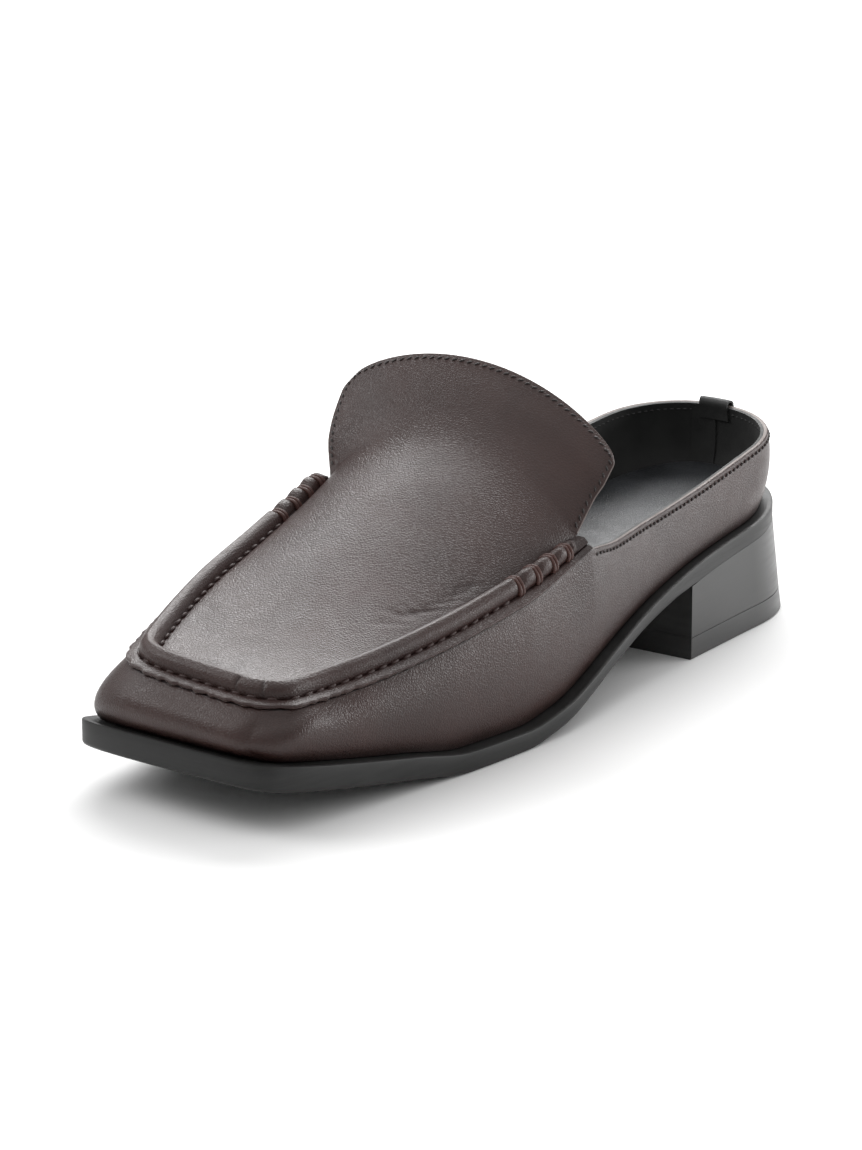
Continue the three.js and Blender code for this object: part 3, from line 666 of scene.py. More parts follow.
brownCalf = makeCalf()
rawEdge = makeGrained("raw_leather_edge", (0.15, 0.12, 0.11), (0.27, 0.235, 0.22),
                      (0.5, 0.7), 2400.0, 0.00012)
flangeEdge = makeGrained("dyed_leather_edge", (0.06, 0.042, 0.038), (0.12, 0.09, 0.082),
                         (0.45, 0.6), 2400.0, 0.00012)
blackLining = makeTwoToned("black_lining", fineNap, {"Fibres Per Metre": 2600.0},
                           ((0.0035, 0.0035, 0.0035), (0.013, 0.0135, 0.0125)), (0.55, 0.75), (0.35, 0.0001),
                           {"Sheen Weight": 0.15, "Sheen Roughness": 0.5})
sockLeather = makeGrained("grey_sock", (0.007, 0.0078, 0.009), (0.042, 0.0445, 0.048),
                          (0.3, 0.48), 1100.0, 0.00014, {"Specular IOR Level": 0.2})
blackEdge = makeEdgeBlack("black_sole_edge", (0.006, 0.006, 0.006), (0.017, 0.017, 0.0165),
                          (0.36, 0.52), 900.0, 0.00008, {"Specular IOR Level": 0.34})
blackHeel = makeEdgeBlack("black_heel", (0.008, 0.008, 0.008), (0.024, 0.024, 0.0235),
                          (0.3, 0.45), 420.0, 0.0001, {"Coat Weight": 0.1, "Coat Roughness": 0.28})
seamThread = makeThread("brown_thread", (0.016, 0.0053, 0.0043), (0.046, 0.016, 0.0125))
wrapThread = makeThread("wrap_thread", (0.032, 0.0092, 0.0066), (0.085, 0.027, 0.018))
edgeThread = makeThread("fine_brown_thread", (0.006, 0.0028, 0.0025), (0.018, 0.008, 0.007))
liningThread = makeThread("black_thread", (0.02, 0.02, 0.02), (0.045, 0.045, 0.045))
print("materials made")


# Creases pressed into the apron, in mm of the shoe's own plan (across, and back from the toe):
# where each begins and ends, its width and its depth
apronCreases = (
    ((16.5, 64.5), (24.5, 68.6), 1.3, 0.12), ((19.5, 69.5), (27.2, 70.6), 1.2, 0.14),
    ((20.5, 73.5), (28.2, 73.2), 1.0, 0.14), ((25.2, 91.5), (28.4, 78.4), 1.1, 0.22),
    ((22.8, 88.6), (26.6, 78.6), 1.2, 0.15), ((27.6, 90.5), (28.6, 84.2), 0.9, 0.16),
    ((25.6, 98.2), (29.2, 88.2), 1.2, 0.2), ((23.4, 101.5), (26.8, 92.4), 1.3, 0.12),
    ((19.0, 62.0), (27.0, 73.0), 1.0, 0.1), ((20.5, 66.0), (28.0, 77.5), 0.9, 0.13),
    ((22.5, 68.0), (28.6, 80.0), 0.8, 0.18), ((23.5, 73.0), (29.0, 85.0), 0.9, 0.2),
    ((24.5, 78.5), (29.4, 90.0), 0.8, 0.18), ((25.5, 84.0), (30.0, 95.0), 0.9, 0.16),
    ((18.0, 58.5), (25.0, 66.5), 1.1, 0.13), ((-27.4, 45.0), (-20.5, 41.0), 1.5, 0.06),
)
# how strongly the creases are pressed, how narrow they are, how they fade at their ends, and how much painted
# shade their depth gives
creasing = {"strength": 1.7, "narrow": 0.62, "endFade": 0.25, "shadeStrength": 1.1}

# the pinched corner of the toe: at each height of the wall (0 at its foot, 1 at its top) the column
# of its crease; beside it the wall swells, and a soft line runs round the toe at one height
toeFold = {
    "height": (0, 0.28, 0.5, 0.68, 0.83, 0.98), "column": (47, 43, 42, 44, 49, 51),
    "creaseAt": 4, "creaseWidth": 7, "creaseDepth": 0.55, "swellAt": -9, "swellWidth": 8, "swellDepth": 0.15,
    "innerShare": 0.0, "lineAt": 0.8, "lineWidth": 0.12, "lineDepth": 0.35, "lineReach": 40,
    "footFade": 0.15, "topFade": 0.08,
}


def toePressed(levels):
    level = np.array(levels)[:, None]
    number = np.arange(ringColumns)
    number = np.where(number > halfColumns, number - ringColumns, number)[None]
    away = np.abs(number) - curve(toeFold["height"], toeFold["column"])(level)
    depth = (toeFold["creaseDepth"] * bell(away - toeFold["creaseAt"], toeFold["creaseWidth"])
             - toeFold["swellDepth"] * bell(away - toeFold["swellAt"], toeFold["swellWidth"]))
    depth = depth * np.where(number < 0, toeFold["innerShare"], 1)
    line = bell(level - toeFold["lineAt"], toeFold["lineWidth"]) * bell(number, toeFold["lineReach"], 4)
    ends = np.clip(level / toeFold["footFade"], 0, 1) * np.clip((1 - level) / toeFold["topFade"], 0, 1)
    return (depth + toeFold["lineDepth"] * line) * ends


def pressed(points):
    # depth of the apron's creases at each point, in mm
    depth, place = np.zeros(len(points)), points[:, :2]
    for start, end, width, deep in apronCreases:
        run = np.subtract(end, start)
        share = np.clip((place - start) @ run / (run @ run), 0, 1)
        gap = np.linalg.norm(place - start - share[:, None] * run, axis=1)
        fade = np.clip(np.minimum(share, 1 - share) + creasing["endFade"], 0, 1)
        depth += creasing["strength"] * deep * fade * bell(gap, width * creasing["narrow"])
    return depth


# The leather of the upper
leather = {
    "thickness": 1.2, "liningThickness": 0.95, "lowRows": 30, "highRows": 17, "highFrom": 0.82,
    # the foot band values give painted shade (partly a dark edge dressing) over the wall's lowest mm; the
    # tuck value gives painted shade on the wall under the flange
    "flangeTuck": (0.93, 0.8, 0.65), "footShadeAndDressingBand": 3.4, "footFull": 1.15, "footShadeAndDressingStrength": 0.6, "underFlangeShade": 0.9,
    "edgeLine": 1.75, "edgeLineWidth": 0.45, "edgeLineDepth": 0.16, "edgeRound": 0.5, "edgeRoundDepth": 0.35,
}
frontRing = np.arange(-throatColumn, throatColumn + 1) % ringColumns
quarterStart = throatColumn + 2  # the topline is free behind this column


def wallSheet(levels, tuck, step=1):
    # the wall from its foot to its top, with its front tucked under the flange
    points = np.concatenate([wallPoints(t)[::step] for t in levels])
    index = np.arange(len(points)).reshape(len(levels), ringColumns // step)
    faces = [gridFaces(index, closed=True)]
    last = index[-1][frontRing[::step] // step]
    for outside, inside, lean in tuck:
        row = seamPoints(outside, inside, 0, lean)[::step]
        fresh = np.arange(len(points), len(points) + len(row))
        faces.append(gridFaces(np.stack([last, fresh])))
        points = np.concatenate([points, row])
        last = fresh
    return points, np.concatenate(faces), index, last


def offsetSheet(points, faces, depth, foot):
    # the sheet moved inwards, its foot kept level
    normal = vertexNormals(points, faces)
    normal[foot] = unit(normal[foot] * (1, 1, 0))
    return points - normal * np.reshape(depth, (-1, 1))


def columnTravel(grid):
    # mm down each column of a grid from its first row
    steps = np.linalg.norm(np.diff(grid, axis=0), axis=2)
    return np.concatenate([np.zeros((1, grid.shape[1])), np.cumsum(steps, 0)])


def heightsBelow(points, index):
    # mm along the sheet from each point of its columns to their top and to their foot
    travel = columnTravel(points[index])
    fromTop, fromFoot = np.zeros(len(points)), np.full(len(points), travel.max())
    fromTop[index], fromFoot[index] = travel[-1] - travel, travel
    return fromTop, fromFoot


levels = np.concatenate([np.linspace(0, leather["highFrom"], leather["lowRows"]),
                         np.linspace(leather["highFrom"], 1, leather["highRows"])[1:]])
plain, wallFaces, wallIndex, _ = wallSheet(levels, [(outside, 0, 0) for outside in leather["flangeTuck"]])
fromTop, fromFoot = heightsBelow(plain, wallIndex)
behind = np.zeros(len(plain))
ringPlace = np.minimum(np.arange(ringColumns), ringColumns - np.arange(ringColumns))
behind[wallIndex] = (ringPlace > quarterStart)[None]
groove = behind * leather["edgeLineDepth"] * bell(fromTop - leather["edgeLine"], leather["edgeLineWidth"])
rounded = behind * leather["edgeRoundDepth"] * np.clip(1 - fromTop / leather["edgeRound"], 0, 1) ** 2
fold = np.zeros(len(plain))
fold[wallIndex] = toePressed(levels)
wallOuter = offsetSheet(plain, wallFaces, groove + rounded + fold, wallIndex[0])
wallInner = offsetSheet(plain, wallFaces, leather["thickness"], wallIndex[0])
points, faces, rims = closedShell(wallOuter, wallInner, wallFaces)
# painted shade, partly a dark edge dressing: the wall darkens towards its foot in the gap over the sole, and
# its tuck and the front of its top row, under the flange, get painted shade
footShadeAndDressingBand = leather["footShadeAndDressingStrength"] * np.clip(leather["footFull"] - fromFoot / leather["footShadeAndDressingBand"], 0, 1)
footShadeAndDressingBand[np.concatenate([wallIndex[-1], np.arange(wallIndex.size, len(plain))])] = leather["underFlangeShade"]
footShadeAndDressingBand[wallIndex[-1]] *= 1 - behind[wallIndex[-1]]
topEdge = behind * (fromTop < 0.01)
addPiece("vamp_and_quarters", points, faces, [brownCalf, rawEdge], ["upper"],
         [0] * (len(faces) - rims) + [1] * rims, {"foot": np.tile(footShadeAndDressingBand, 2), "edge": np.tile(topEdge, 2)})


# The apron: flange, roll, top and tongue in one piece. Its section runs from the flange to the top.
section = {
    "outside": (1.0, 1.02, 1.0, 0.96, 0.88, 0.75, 0.58, 0.51, 0.47, 0.43, 0.37, 0.27, 0.14,
                0, 0, 0, 0, 0, 0, 0, 0),
    "inside": (0, 0, 0, 0, 0, 0, 0, 0, 0, 0, 0, 0, 0, 0, 0.14, 0.3, 0.42, 0.49, 0.535, 0.58, 0.62),
    "rise": (0.12, 0.2, 0.31, 0.35, 0.34, 0.3, 0.24, 0.17, 0.1, 0.3, 0.58, 0.84, 0.96, 1,
             0.97, 0.85, 0.62, 0.34, 0.08, -0.03, 0),
    "lean": (0, 0, 0, 0, 0, 0, 0, 0, 0, 0.1, 0.2, 0.3, 0.42, 0.5, 0.56, 0.64, 0.72, 0.8, 0.88, 0.94, 1),
    "under": (0.1, 0.09, 0.08, 0.08, 0.08, 0.08, 0.08, 0.04, -0.1, -0.3, *[-0.33] * 11),
}
roll = {  # places along the seam in mm; rows are counted over the section from the flange
    "sectionRows": 46, "flangeRows": 12, "base": 0.3, "pitch": 4.3, "holeDepth": 0.12, "holeWidth": 0.8,
    "wrapsOuter": (31.0, 23.2, 15.8, 9.0), "wrapsInner": (24.0, 16.8, 10.0, 3.6),
    "wrapDepth": 0.72, "wrapWidth": 1.3, "endOuter": 5.2, "endInner": 0.8, "endLength": 2.6,
    "pleats": (10.7, 17.6), "pleatDepth": 0.24, "pleatWidth": 0.42, "lapFall": 0.05, "lapRamp": 0.8,
    "waveToe": 0.32, "waveSide": 0.1, "waveReach": 45, "waveLift": 0.1, "waveFrom": 0.6, "waveRamp": 0.35,
    "ripples": ((1, 1.46, 0), (0.7, 0.83, 1.1), (0.5, 2.63, 0.4)), "rippleSum": 1.6,
    "valleys": ((17, 2.6), (40, 2.4)),
}
# the roll's colour marks: painted shade in its stitch valleys and its pleats, the pale raw edge of the
# flange, and the darker flap by its outer end
rollShadeAndTone = {
    "valleys": ((17, 2.3), (41, 2.0)), "valleyShade": 0.98, "pleatShade": 0.85, "pleatWidth": 0.4,
    "rows": (17, 44), "ramp": 3, "flangeEdge": 0.8, "flapBefore": 2.5, "flapRamp": 2,
}
sectionSteps = np.linspace(0, len(section["outside"]) - 1, roll["sectionRows"])
sectionLines = {key: curve(range(len(values)), values)(sectionSteps) for key, values in section.items()}
outerWraps = np.array([seamArc[-1] - v for v in roll["wrapsOuter"]])
innerWraps = np.array([seamArc[0] + v for v in roll["wrapsInner"]])
wrapArcs = np.concatenate([outerWraps, innerWraps])


def rollFactor(arcs):
    # height of the roll along the seam: pinched at the wraps, rounded off at its ends
    factor = np.ones_like(arcs)
    for wrap in wrapArcs:
        factor -= roll["wrapDepth"] * bell(arcs - wrap, roll["wrapWidth"])
    for pleat in roll["pleats"]:
        factor -= roll["pleatDepth"] * bell(arcs - pleat, roll["pleatWidth"])
    first, last = roll["pleats"]
    lap = np.clip((arcs - first) / roll["lapRamp"], 0, 1) * np.clip((last - arcs) / roll["lapRamp"], 0, 1)
    factor -= roll["lapFall"] * lap
    for left in (seamArc[-1] - arcs - roll["endOuter"], arcs - seamArc[0] - roll["endInner"]):
        run = np.clip(left / roll["endLength"], 0, 1)
        factor *= np.sqrt(1 - (1 - run) ** 2)
    return factor


def flangeWave(arcs):
    # the uneven edge of the flange, most at the toe
    size = roll["waveSide"] + (roll["waveToe"] - roll["waveSide"]) * bell(arcs, roll["waveReach"], 4)
    ripple = sum(share * np.sin(arcs * often + phase) for share, often, phase in roll["ripples"])
    return size * ripple / roll["rippleSum"]


def holePull(arcs):
    # 1 at each stitch hole and 0 between them
    gap = np.abs((arcs / roll["pitch"] + 0.5) % 1 - 0.5) * roll["pitch"]
    return bell(gap, roll["holeWidth"])


def rollSection(k, arcs, at):
    # one line of the section along the seam: its outside and its inside points
    outside, inside, rise, lean, under = (sectionLines[key][k] for key in section)
    wave = flangeWave(arcs)
    tip = np.clip((outside - roll["waveFrom"]) / roll["waveRamp"], 0, 1)
    raised = max(0, rise - roll["base"]) if k > roll["flangeRows"] else 0
    valley = sum(bell(k - row, width) for row, width in roll["valleys"])
    height = rise + raised * (rollFactor(arcs) - 1)
    height = height - roll["holeDepth"] * holePull(arcs) * valley + roll["waveLift"] * wave * tip
    out = outside + wave * tip / at["reach"][:, 0]
    return seamPoints(out, inside, height, lean, at), seamPoints(out, inside, under, lean, at)


def joinApron(points, rim, grid, step=1):
    # the rows of apron and tongue laid on the line that a sheet ends with; beside the apron, the
    # outer columns are points of that line
    width, middle = grid.shape[1] - 1, len(rim) // 2
    index = np.zeros(grid.shape[:2], int)
    index[0] = rim[middle - width // 2: middle + width // 2 + 1]
    body, count = [points], len(points)
    for row in range(1, len(grid)):
        held = row * step <= vampColumns
        cells = slice(1, width) if held else slice(0, width + 1)
        fresh = grid[row, cells]
        index[row, cells] = np.arange(count, count + len(fresh))
        if held:
            index[row, 0], index[row, width] = rim[middle - width // 2 - row], rim[middle + width // 2 + row]
        body.append(fresh)
        count += len(fresh)
    return np.concatenate(body), index


apronTop = apronGrid(2 * toeColumns)


def apronSheet():
    # the outside and the underside of flange, roll, apron and tongue
    rows = [rollSection(k, seamArc, seam) for k in range(roll["sectionRows"])]
    under = np.concatenate([row[1] for row in rows])
    index = np.arange(len(under)).reshape(roll["sectionRows"], -1)
    points, gridIndex = joinApron(np.concatenate([row[0] for row in rows]), index[-1], apronTop)
    faces = np.concatenate([gridFaces(index), gridFaces(gridIndex)])
    normal = vertexNormals(points, faces)
    low = points - normal * leather["thickness"]
    low[:len(under)] = under
    return points, low, faces, normal, index, gridIndex


points, low, apronFaces, apronNormal, seamIndex, apronIndex = apronSheet()
crease = pressed(points)
crease[seamIndex[:-3]] = 0
# painted shade: the apron is darkened in its creases, and the roll in its stitch valleys and pleats, through
# the "crease" mask
dark = crease * creasing["shadeStrength"]
rowNumber = np.arange(roll["sectionRows"])[:, None]
# painted shade along the roll's stitch valleys and in its pleats
valleyShade = rollShadeAndTone["valleyShade"] * sum(bell(rowNumber - row, width) for row, width in rollShadeAndTone["valleys"])
firstRow, lastRow = rollShadeAndTone["rows"]
onRoll = (np.clip((rowNumber - firstRow) / rollShadeAndTone["ramp"], 0, 1)
          * np.clip((lastRow - rowNumber) / rollShadeAndTone["ramp"], 0, 1))
pleatShade = sum(bell(seamArc - pleat, rollShadeAndTone["pleatWidth"]) for pleat in roll["pleats"])[None]
dark[seamIndex] = np.maximum(dark[seamIndex], valleyShade)
dark[seamIndex] = np.maximum(dark[seamIndex], rollShadeAndTone["pleatShade"] * onRoll * pleatShade)
apronOuter = points - apronNormal * crease[:, None]
shell, faces, rims = closedShell(apronOuter, low, apronFaces)
tongueEdge = np.zeros(len(points))
tongueEdge[apronIndex[vampColumns + 2:, [0, -1]].ravel()] = 1
tongueEdge[apronIndex[-1]] = 1
tongueEdge[seamIndex[0]] = rollShadeAndTone["flangeEdge"]
flap = np.zeros(len(points))
fromEnd = seamArc - seamArc[-1] + roll["endOuter"] + rollShadeAndTone["flapBefore"]
flap[seamIndex] = np.clip(fromEnd / rollShadeAndTone["flapRamp"], 0, 1)[None]
rimAt = np.mean(np.array(faces[-rims:]) % len(points), axis=1)
edgeKind = np.where(rimAt >= apronIndex[vampColumns][1], 1, 2)  # raw at the tongue, dyed at the flange
addPiece("apron_and_tongue", shell, faces, [brownCalf, rawEdge, flangeEdge], ["upper"],
         [0] * (len(faces) - rims) + edgeKind.tolist(),
         {"crease": np.tile(dark.clip(0, 1), 2), "flap": np.tile(flap, 2), "edge": np.tile(tongueEdge, 2)})
print("leather built")


# Thread: stitches and wraps are closed tubes along short paths
def tubes(paths, radii, normals, sides=8):
    # one mesh of closed tubes; each path has its points, the radius and a normal at each
    points, faces, count = [], [], 0
    angle = np.arange(sides) * 2 * math.pi / sides
    for path, radius, normal in zip(paths, radii, normals):
        along = unit(np.gradient(path, axis=0))
        side = unit(np.cross(along, normal))
        top = np.cross(side, along)
        ring = side[:, None] * np.cos(angle)[None, :, None] + top[:, None] * np.sin(angle)[None, :, None]
        body = (path[:, None] + ring * radius[:, None, None]).reshape(-1, 3)
        index = count + np.arange(len(body)).reshape(len(path), sides)
        faces += gridFaces(index, closed=True).tolist()
        faces += [index[0][::-1].tolist(), index[-1].tolist()]
        points.append(body)
        count += len(body)
    return np.concatenate(points), faces


stitches = {  # lengths in mm, the slant in degrees; a minus sink stands proud of the leather
    "seamOuter": {"length": 2.9, "radius": 0.46, "sink": -0.18, "slant": 6, "outside": 0.475, "rise": 0.12,
                  "tilt": 0.35},
    "seamInner": {"length": 2.9, "radius": 0.46, "sink": -0.18, "slant": -8, "inside": 0.585, "rise": 0.06,
                  "tilt": 0.5},
    "tongue": {"length": 1.75, "radius": 0.33, "sink": -0.06, "slant": 34, "pitch": 2.35, "inset": 1.5,
               "margins": (4.5, 3.5)},
    "topline": {"length": 1.15, "radius": 0.34, "sink": -0.08, "slant": 30, "pitch": 2.25},
    "lining": {"length": 1.4, "radius": 0.22, "sink": -0.02, "slant": 0, "pitch": 2.0, "lower": 0.3},
    "steps": 9, "plump": 3.2, "thinnest": 0.02, "endSink": 1.6,
}


def addStitches(name, places, along, normal, row, material):
    # a row of stitches, each thin and sunk at its ends
    side = unit(np.cross(normal, along))
    turn, radius = math.radians(row["slant"]), row["radius"]
    lay = unit(along * math.cos(turn) + side * math.sin(turn))
    t = np.linspace(-1, 1, stitches["steps"])
    profile = radius * np.sqrt(np.clip(1 - np.abs(t) ** stitches["plump"], stitches["thinnest"], 1))
    sink = row["sink"] + stitches["endSink"] * radius * np.abs(t) ** 3
    paths = (places[:, None] + lay[:, None] * (t * row["length"] / 2)[None, :, None]
             - normal[:, None] * sink[None, :, None])
    normals = np.repeat(normal[:, None], len(t), axis=1)
    points, faces = tubes(paths, np.repeat(profile[None], len(paths), 0), normals)
    addPiece(name, points, faces, [material], crease=80)


def alongLine(line, distances, reach=0.4):
    # points of a line at distances from its start, with the way it runs there
    travel = travelAlong(line)
    ahead, behind = (between(distances + step, travel, line) for step in (reach, -reach))
    return between(distances, travel, line), unit(ahead - behind)


def seamRun(arcs, reach=0.5):
    # the way that the seam runs at each place
    return unit(seamAt(arcs + reach)["foot"] - seamAt(arcs - reach)["foot"])


outerRow, innerRow = stitches["seamOuter"], stitches["seamInner"]
firstHole = math.ceil(innerWraps.max() / roll["pitch"])
lastHole = math.floor(outerWraps.min() / roll["pitch"])
middles = (np.arange(firstHole, lastHole) + 0.5) * roll["pitch"]
here, run = seamAt(middles), seamRun(middles)
outerPlace = seamPoints(outerRow["outside"], 0, outerRow["rise"], 0, here)
outerNormal = unit(here["rise"] + outerRow["tilt"] * here["slope"])
addStitches("seam_stitches_outer", outerPlace, run, outerNormal, outerRow, seamThread)
innerPlace = seamPoints(0, innerRow["inside"], innerRow["rise"], 1, here)
innerNormal = unit(up - innerRow["tilt"] * here["out"])
addStitches("seam_stitches_inner", innerPlace, run, innerNormal, innerRow, seamThread)

wraps = {"rows": (15, 43), "strands": (-0.6, 0.6), "lift": 0.34, "radius": 0.58}


def addWraps():
    # two strands of thread over the roll at each wrap
    paths, radii, normals = [], [], []
    for wrap in wrapArcs:
        for strand in wraps["strands"]:
            arcs = np.array([wrap + strand])
            at = seamAt(arcs)
            line = np.concatenate([rollSection(k, arcs, at)[0] for k in range(*wraps["rows"])])
            way = unit(np.gradient(line, axis=0))
            lift = unit(np.cross(np.repeat(seamRun(arcs), len(line), 0), way))
            lift = lift * np.sign((lift[len(line) // 2] @ up) or 1)
            paths.append(line + lift * wraps["lift"])
            radii.append(np.full(len(line), wraps["radius"]))
            normals.append(lift)
    points, faces = tubes(paths, radii, normals)
    addPiece("seam_wraps", points, faces, [wrapThread], crease=80)


def addTongueStitches():
    # round the free edge of the tongue, from its inner foot to its outer foot
    row = stitches["tongue"]
    tongue = apronIndex[vampColumns:]
    rim = np.concatenate([tongue[:, 0], tongue[-1, 1:-1], tongue[::-1, -1]])
    rimPoints, rimNormal = apronOuter[rim], apronNormal[rim]
    for _ in range(3):
        rimNormal = unit(rimNormal + np.roll(rimNormal, 1, 0) + np.roll(rimNormal, -1, 0))
    travel = travelAlong(rimPoints)
    first, last = row["margins"]
    places = np.arange(first, travel[-1] - last, row["pitch"])
    on, way = alongLine(rimPoints, places)
    inward = unit(np.cross(way, unit(between(places, travel, rimNormal))))
    middle = apronOuter[apronIndex[-12, apronIndex.shape[1] // 2]]
    inward *= np.sign(np.sum(inward * (middle - on), axis=1, keepdims=True))
    reach = on + inward * row["inset"]
    sheet = apronIndex[vampColumns - 12:].ravel()
    near = sheet[[np.argmin(np.linalg.norm(apronOuter[sheet] - p, axis=1)) for p in reach]]
    normal = apronNormal[near]
    reach = reach - normal * np.sum((reach - apronOuter[near]) * normal, axis=1, keepdims=True)
    addStitches("tongue_stitches", reach, way, normal, row, edgeThread)


def quarterLine(below, depth):
    # a line along the back wall at one distance under its top, with its outward normals
    rows = plain[wallIndex][::-1]
    travel = columnTravel(rows)
    back = np.arange(quarterStart, ringColumns - quarterStart + 1)
    line = np.array([between(below, travel[:, c], rows[:, c]) for c in back])
    normal = vertexNormals(plain, wallFaces)[wallIndex[-8]][back]
    return line - normal * depth, normal


def addEdgeStitches(name, below, depth, row, material, facing=1):
    line, normals = quarterLine(below, depth)
    travel = travelAlong(line)
    places = np.arange(1.0, travel[-1] - 1.0, row["pitch"])
    on, way = alongLine(line, places)
    addStitches(name, on, way, facing * unit(between(places, travel, normals)), row, material)


addWraps()
addTongueStitches()
addEdgeStitches("topline_stitches", leather["edgeLine"], 0.0, stitches["topline"], edgeThread)
addEdgeStitches("lining_stitches", leather["edgeLine"] + stitches["lining"]["lower"],
                leather["thickness"] + leather["liningThickness"], stitches["lining"], liningThread,
                facing=-1)
print("stitches laid")


# The lining inside the wall, the apron and the tongue, and its lap down the middle of the heel
lining = {
    "step": 2, "rows": 14, "clear": 0.03,
    "tuck": ((0.75, 0, 0), (0.5, 0, 0), (0.25, 0, 0.2), (0, 0, 0.5), (0, 0.31, 0.8), (0, 0.62, 1)),
    "lapFrom": 0.08, "lapTo": 0.985, "lapRows": 16, "lapColumns": 7, "lapSink": 0.02, "lapThickness": 0.45,
}


def addShell(name, outer, inner, faces, material, nodes=()):
    shell, faces, _ = closedShell(outer.reshape(-1, 3), inner.reshape(-1, 3), faces)
    addPiece(name, shell, faces, [material], nodes)


def addLining():
    step, rows = lining["step"], np.linspace(0, 1, lining["rows"])
    points, faces, wallIndex, last = wallSheet(rows, lining["tuck"], step)
    points, index = joinApron(points, last, apronTop[::step, ::step], step)
    faces = np.concatenate([faces, gridFaces(index)])
    outer, inner = (offsetSheet(points, faces, leather["thickness"] + depth, wallIndex[0])
                    for depth in (lining["clear"], leather["liningThickness"]))
    addShell("lining", outer, inner, faces, blackLining, ["upper"])


def addLiningLap():
    near = (halfColumns + np.arange(lining["lapColumns"])) % ringColumns
    rows = np.linspace(lining["lapFrom"], lining["lapTo"], lining["lapRows"])
    grid, out = np.array([wallPoints(t)[near] for t in rows]), wallOut[near]
    inside = grid - out * (leather["thickness"] + leather["liningThickness"])
    index = np.arange(len(rows) * len(near)).reshape(len(rows), len(near))
    addShell("lining_lap", inside + out * lining["lapSink"], inside - out * lining["lapThickness"],
             gridFaces(index), blackLining)


addLining()
addLiningLap()


# The sole, the footbed and the heel, each from rings laid one on another
def addRings(name, rings, material, nodes, across=2):
    # a closed solid from closed rings, the lowest first; rungs close its two ends
    count = len(rings[0])
    half, total = count // 2, len(rings) * count
    points = [np.concatenate(rings)]
    index = np.arange(total).reshape(len(rings), count)
    faces = gridFaces(index, closed=True).tolist()
    steps = np.linspace(0, 1, across + 1)[None, :, None]
    for level, turned in ((0, True), (len(rings) - 1, False)):
        ring = index[level]
        right, left = ring[1:half], ring[:half:-1]
        cells = points[0][right][:, None] * (1 - steps) + points[0][left][:, None] * steps
        inside = cells[:, 1:-1]
        fresh = np.arange(total, total + inside.shape[0] * inside.shape[1]).reshape(inside.shape[:2])
        total += fresh.size
        points.append(inside.reshape(-1, 3))
        table = np.concatenate([right[:, None], fresh, left[:, None]], axis=1)
        quads = gridFaces(table)
        faces += (quads if turned else quads[:, ::-1]).tolist()
        ends = [[ring[0], table[0, k + 1], table[0, k]] for k in range(across)]
        ends += [[ring[half], table[-1, k], table[-1, k + 1]] for k in range(across)]
        faces += [end if turned else end[::-1] for end in ends]
    addPiece(name, np.concatenate(points), faces, [material], nodes)


sole = {  # the rings at its lower edge in shares of the bevel, those at its upper edge in mm
    "bevel": 0.7, "archBevel": 1.1, "archAt": 150, "archReach": 32, "seatBevel": 0.08, "seatFrom": 182,
    "seatRamp": 12, "lowRings": ((1, 0), (0.45, 0.35), (0.1, 0.9), (0, 1.6)), "middleRise": 0.4,
    "highRings": ((0, -0.7), (0.12, -0.25), (0.5, 0), (1.2, 0)),
}


def bevel(back):
    # how far the lower edge of the sole is cut away, most under the arch
    seat = np.clip((back - sole["seatFrom"]) / sole["seatRamp"], 0, 1)
    front = sole["bevel"] + sole["archBevel"] * bell(back - sole["archAt"], sole["archReach"])
    return front * (1 - seat) + sole["seatBevel"] * seat


def level(height):
    return lambda back: height + 0 * back


lowRings = [soleRing(lambda b: bevel(b) * inset, lambda b: underside(b) + bevel(b) * rise)
            for inset, rise in sole["lowRings"]]
middleRing = soleRing(level(0), lambda b: (underside(b) + soleTop(b)) / 2 + sole["middleRise"])
highRings = [soleRing(level(inset), lambda b: soleTop(b) + rise) for inset, rise in sole["highRings"]]
addRings("sole", lowRings + [middleRing] + highRings, blackEdge, ["outsole"])

# the footbed's rings: how far each is drawn in, and how far it lies under the top
footbed = {"rings": ((0, 3.5), (0, 0.5), (0.15, 0.15), (0.6, 0)), "across": 24}


def footbedRing(inset, under):
    margin = form["wall"] + form["sideGap"] + inset
    rise = form["gap"] + form["footbed"] - under
    return soleRing(lambda b: feather(b) + margin, lambda b: soleTop(b) + rise)


addRings("sock_and_footbed", [footbedRing(*ring) for ring in footbed["rings"]], sockLeather, ["insole"],
         footbed["across"])

heel = {
    "columns": 110, "topPieceGap": 0.05, "seatGap": 0.02, "edge": 0.14, "floorEdge": 0.35,
    "rings": (0.34, 0.67, 1),
}
breast = form["soleLength"] - form["heelLength"]


def heelRing(inset, spread, height):
    halves = []
    power = 2 / form["heelSquareness"]
    rake = (form["heelLength"] + form["heelRake"] * spread) / form["heelLength"]
    for side, sign in sides.items():
        def spot(across, back):
            flare = form["heelFlare"] * spread * (back - breast) / form["heelLength"]
            half = soleHalf[side](back / form["soleLength"]) * halfBall - inset + flare
            return point(sign * half * across, breast + (back - breast) * rake, height(back))
        end = form["soleLength"] - inset - form["heelRound"]
        angle = math.pi / 2 * (1 - chainSteps[1:])
        flank = spot(np.ones_like(chainSteps), breast + (end - breast) * chainSteps)
        rear = spot(np.sin(angle) ** power, end + form["heelRound"] * np.abs(np.cos(angle)) ** power)
        line = spaced(np.concatenate([flank, rear]), heel["columns"])
        halves.append(np.concatenate([spot(np.zeros(1), np.full(1, breast)), line]))
    return ringOf(*halves)


def spreadAt(height):
    return 1 - height / form["heelHeight"]


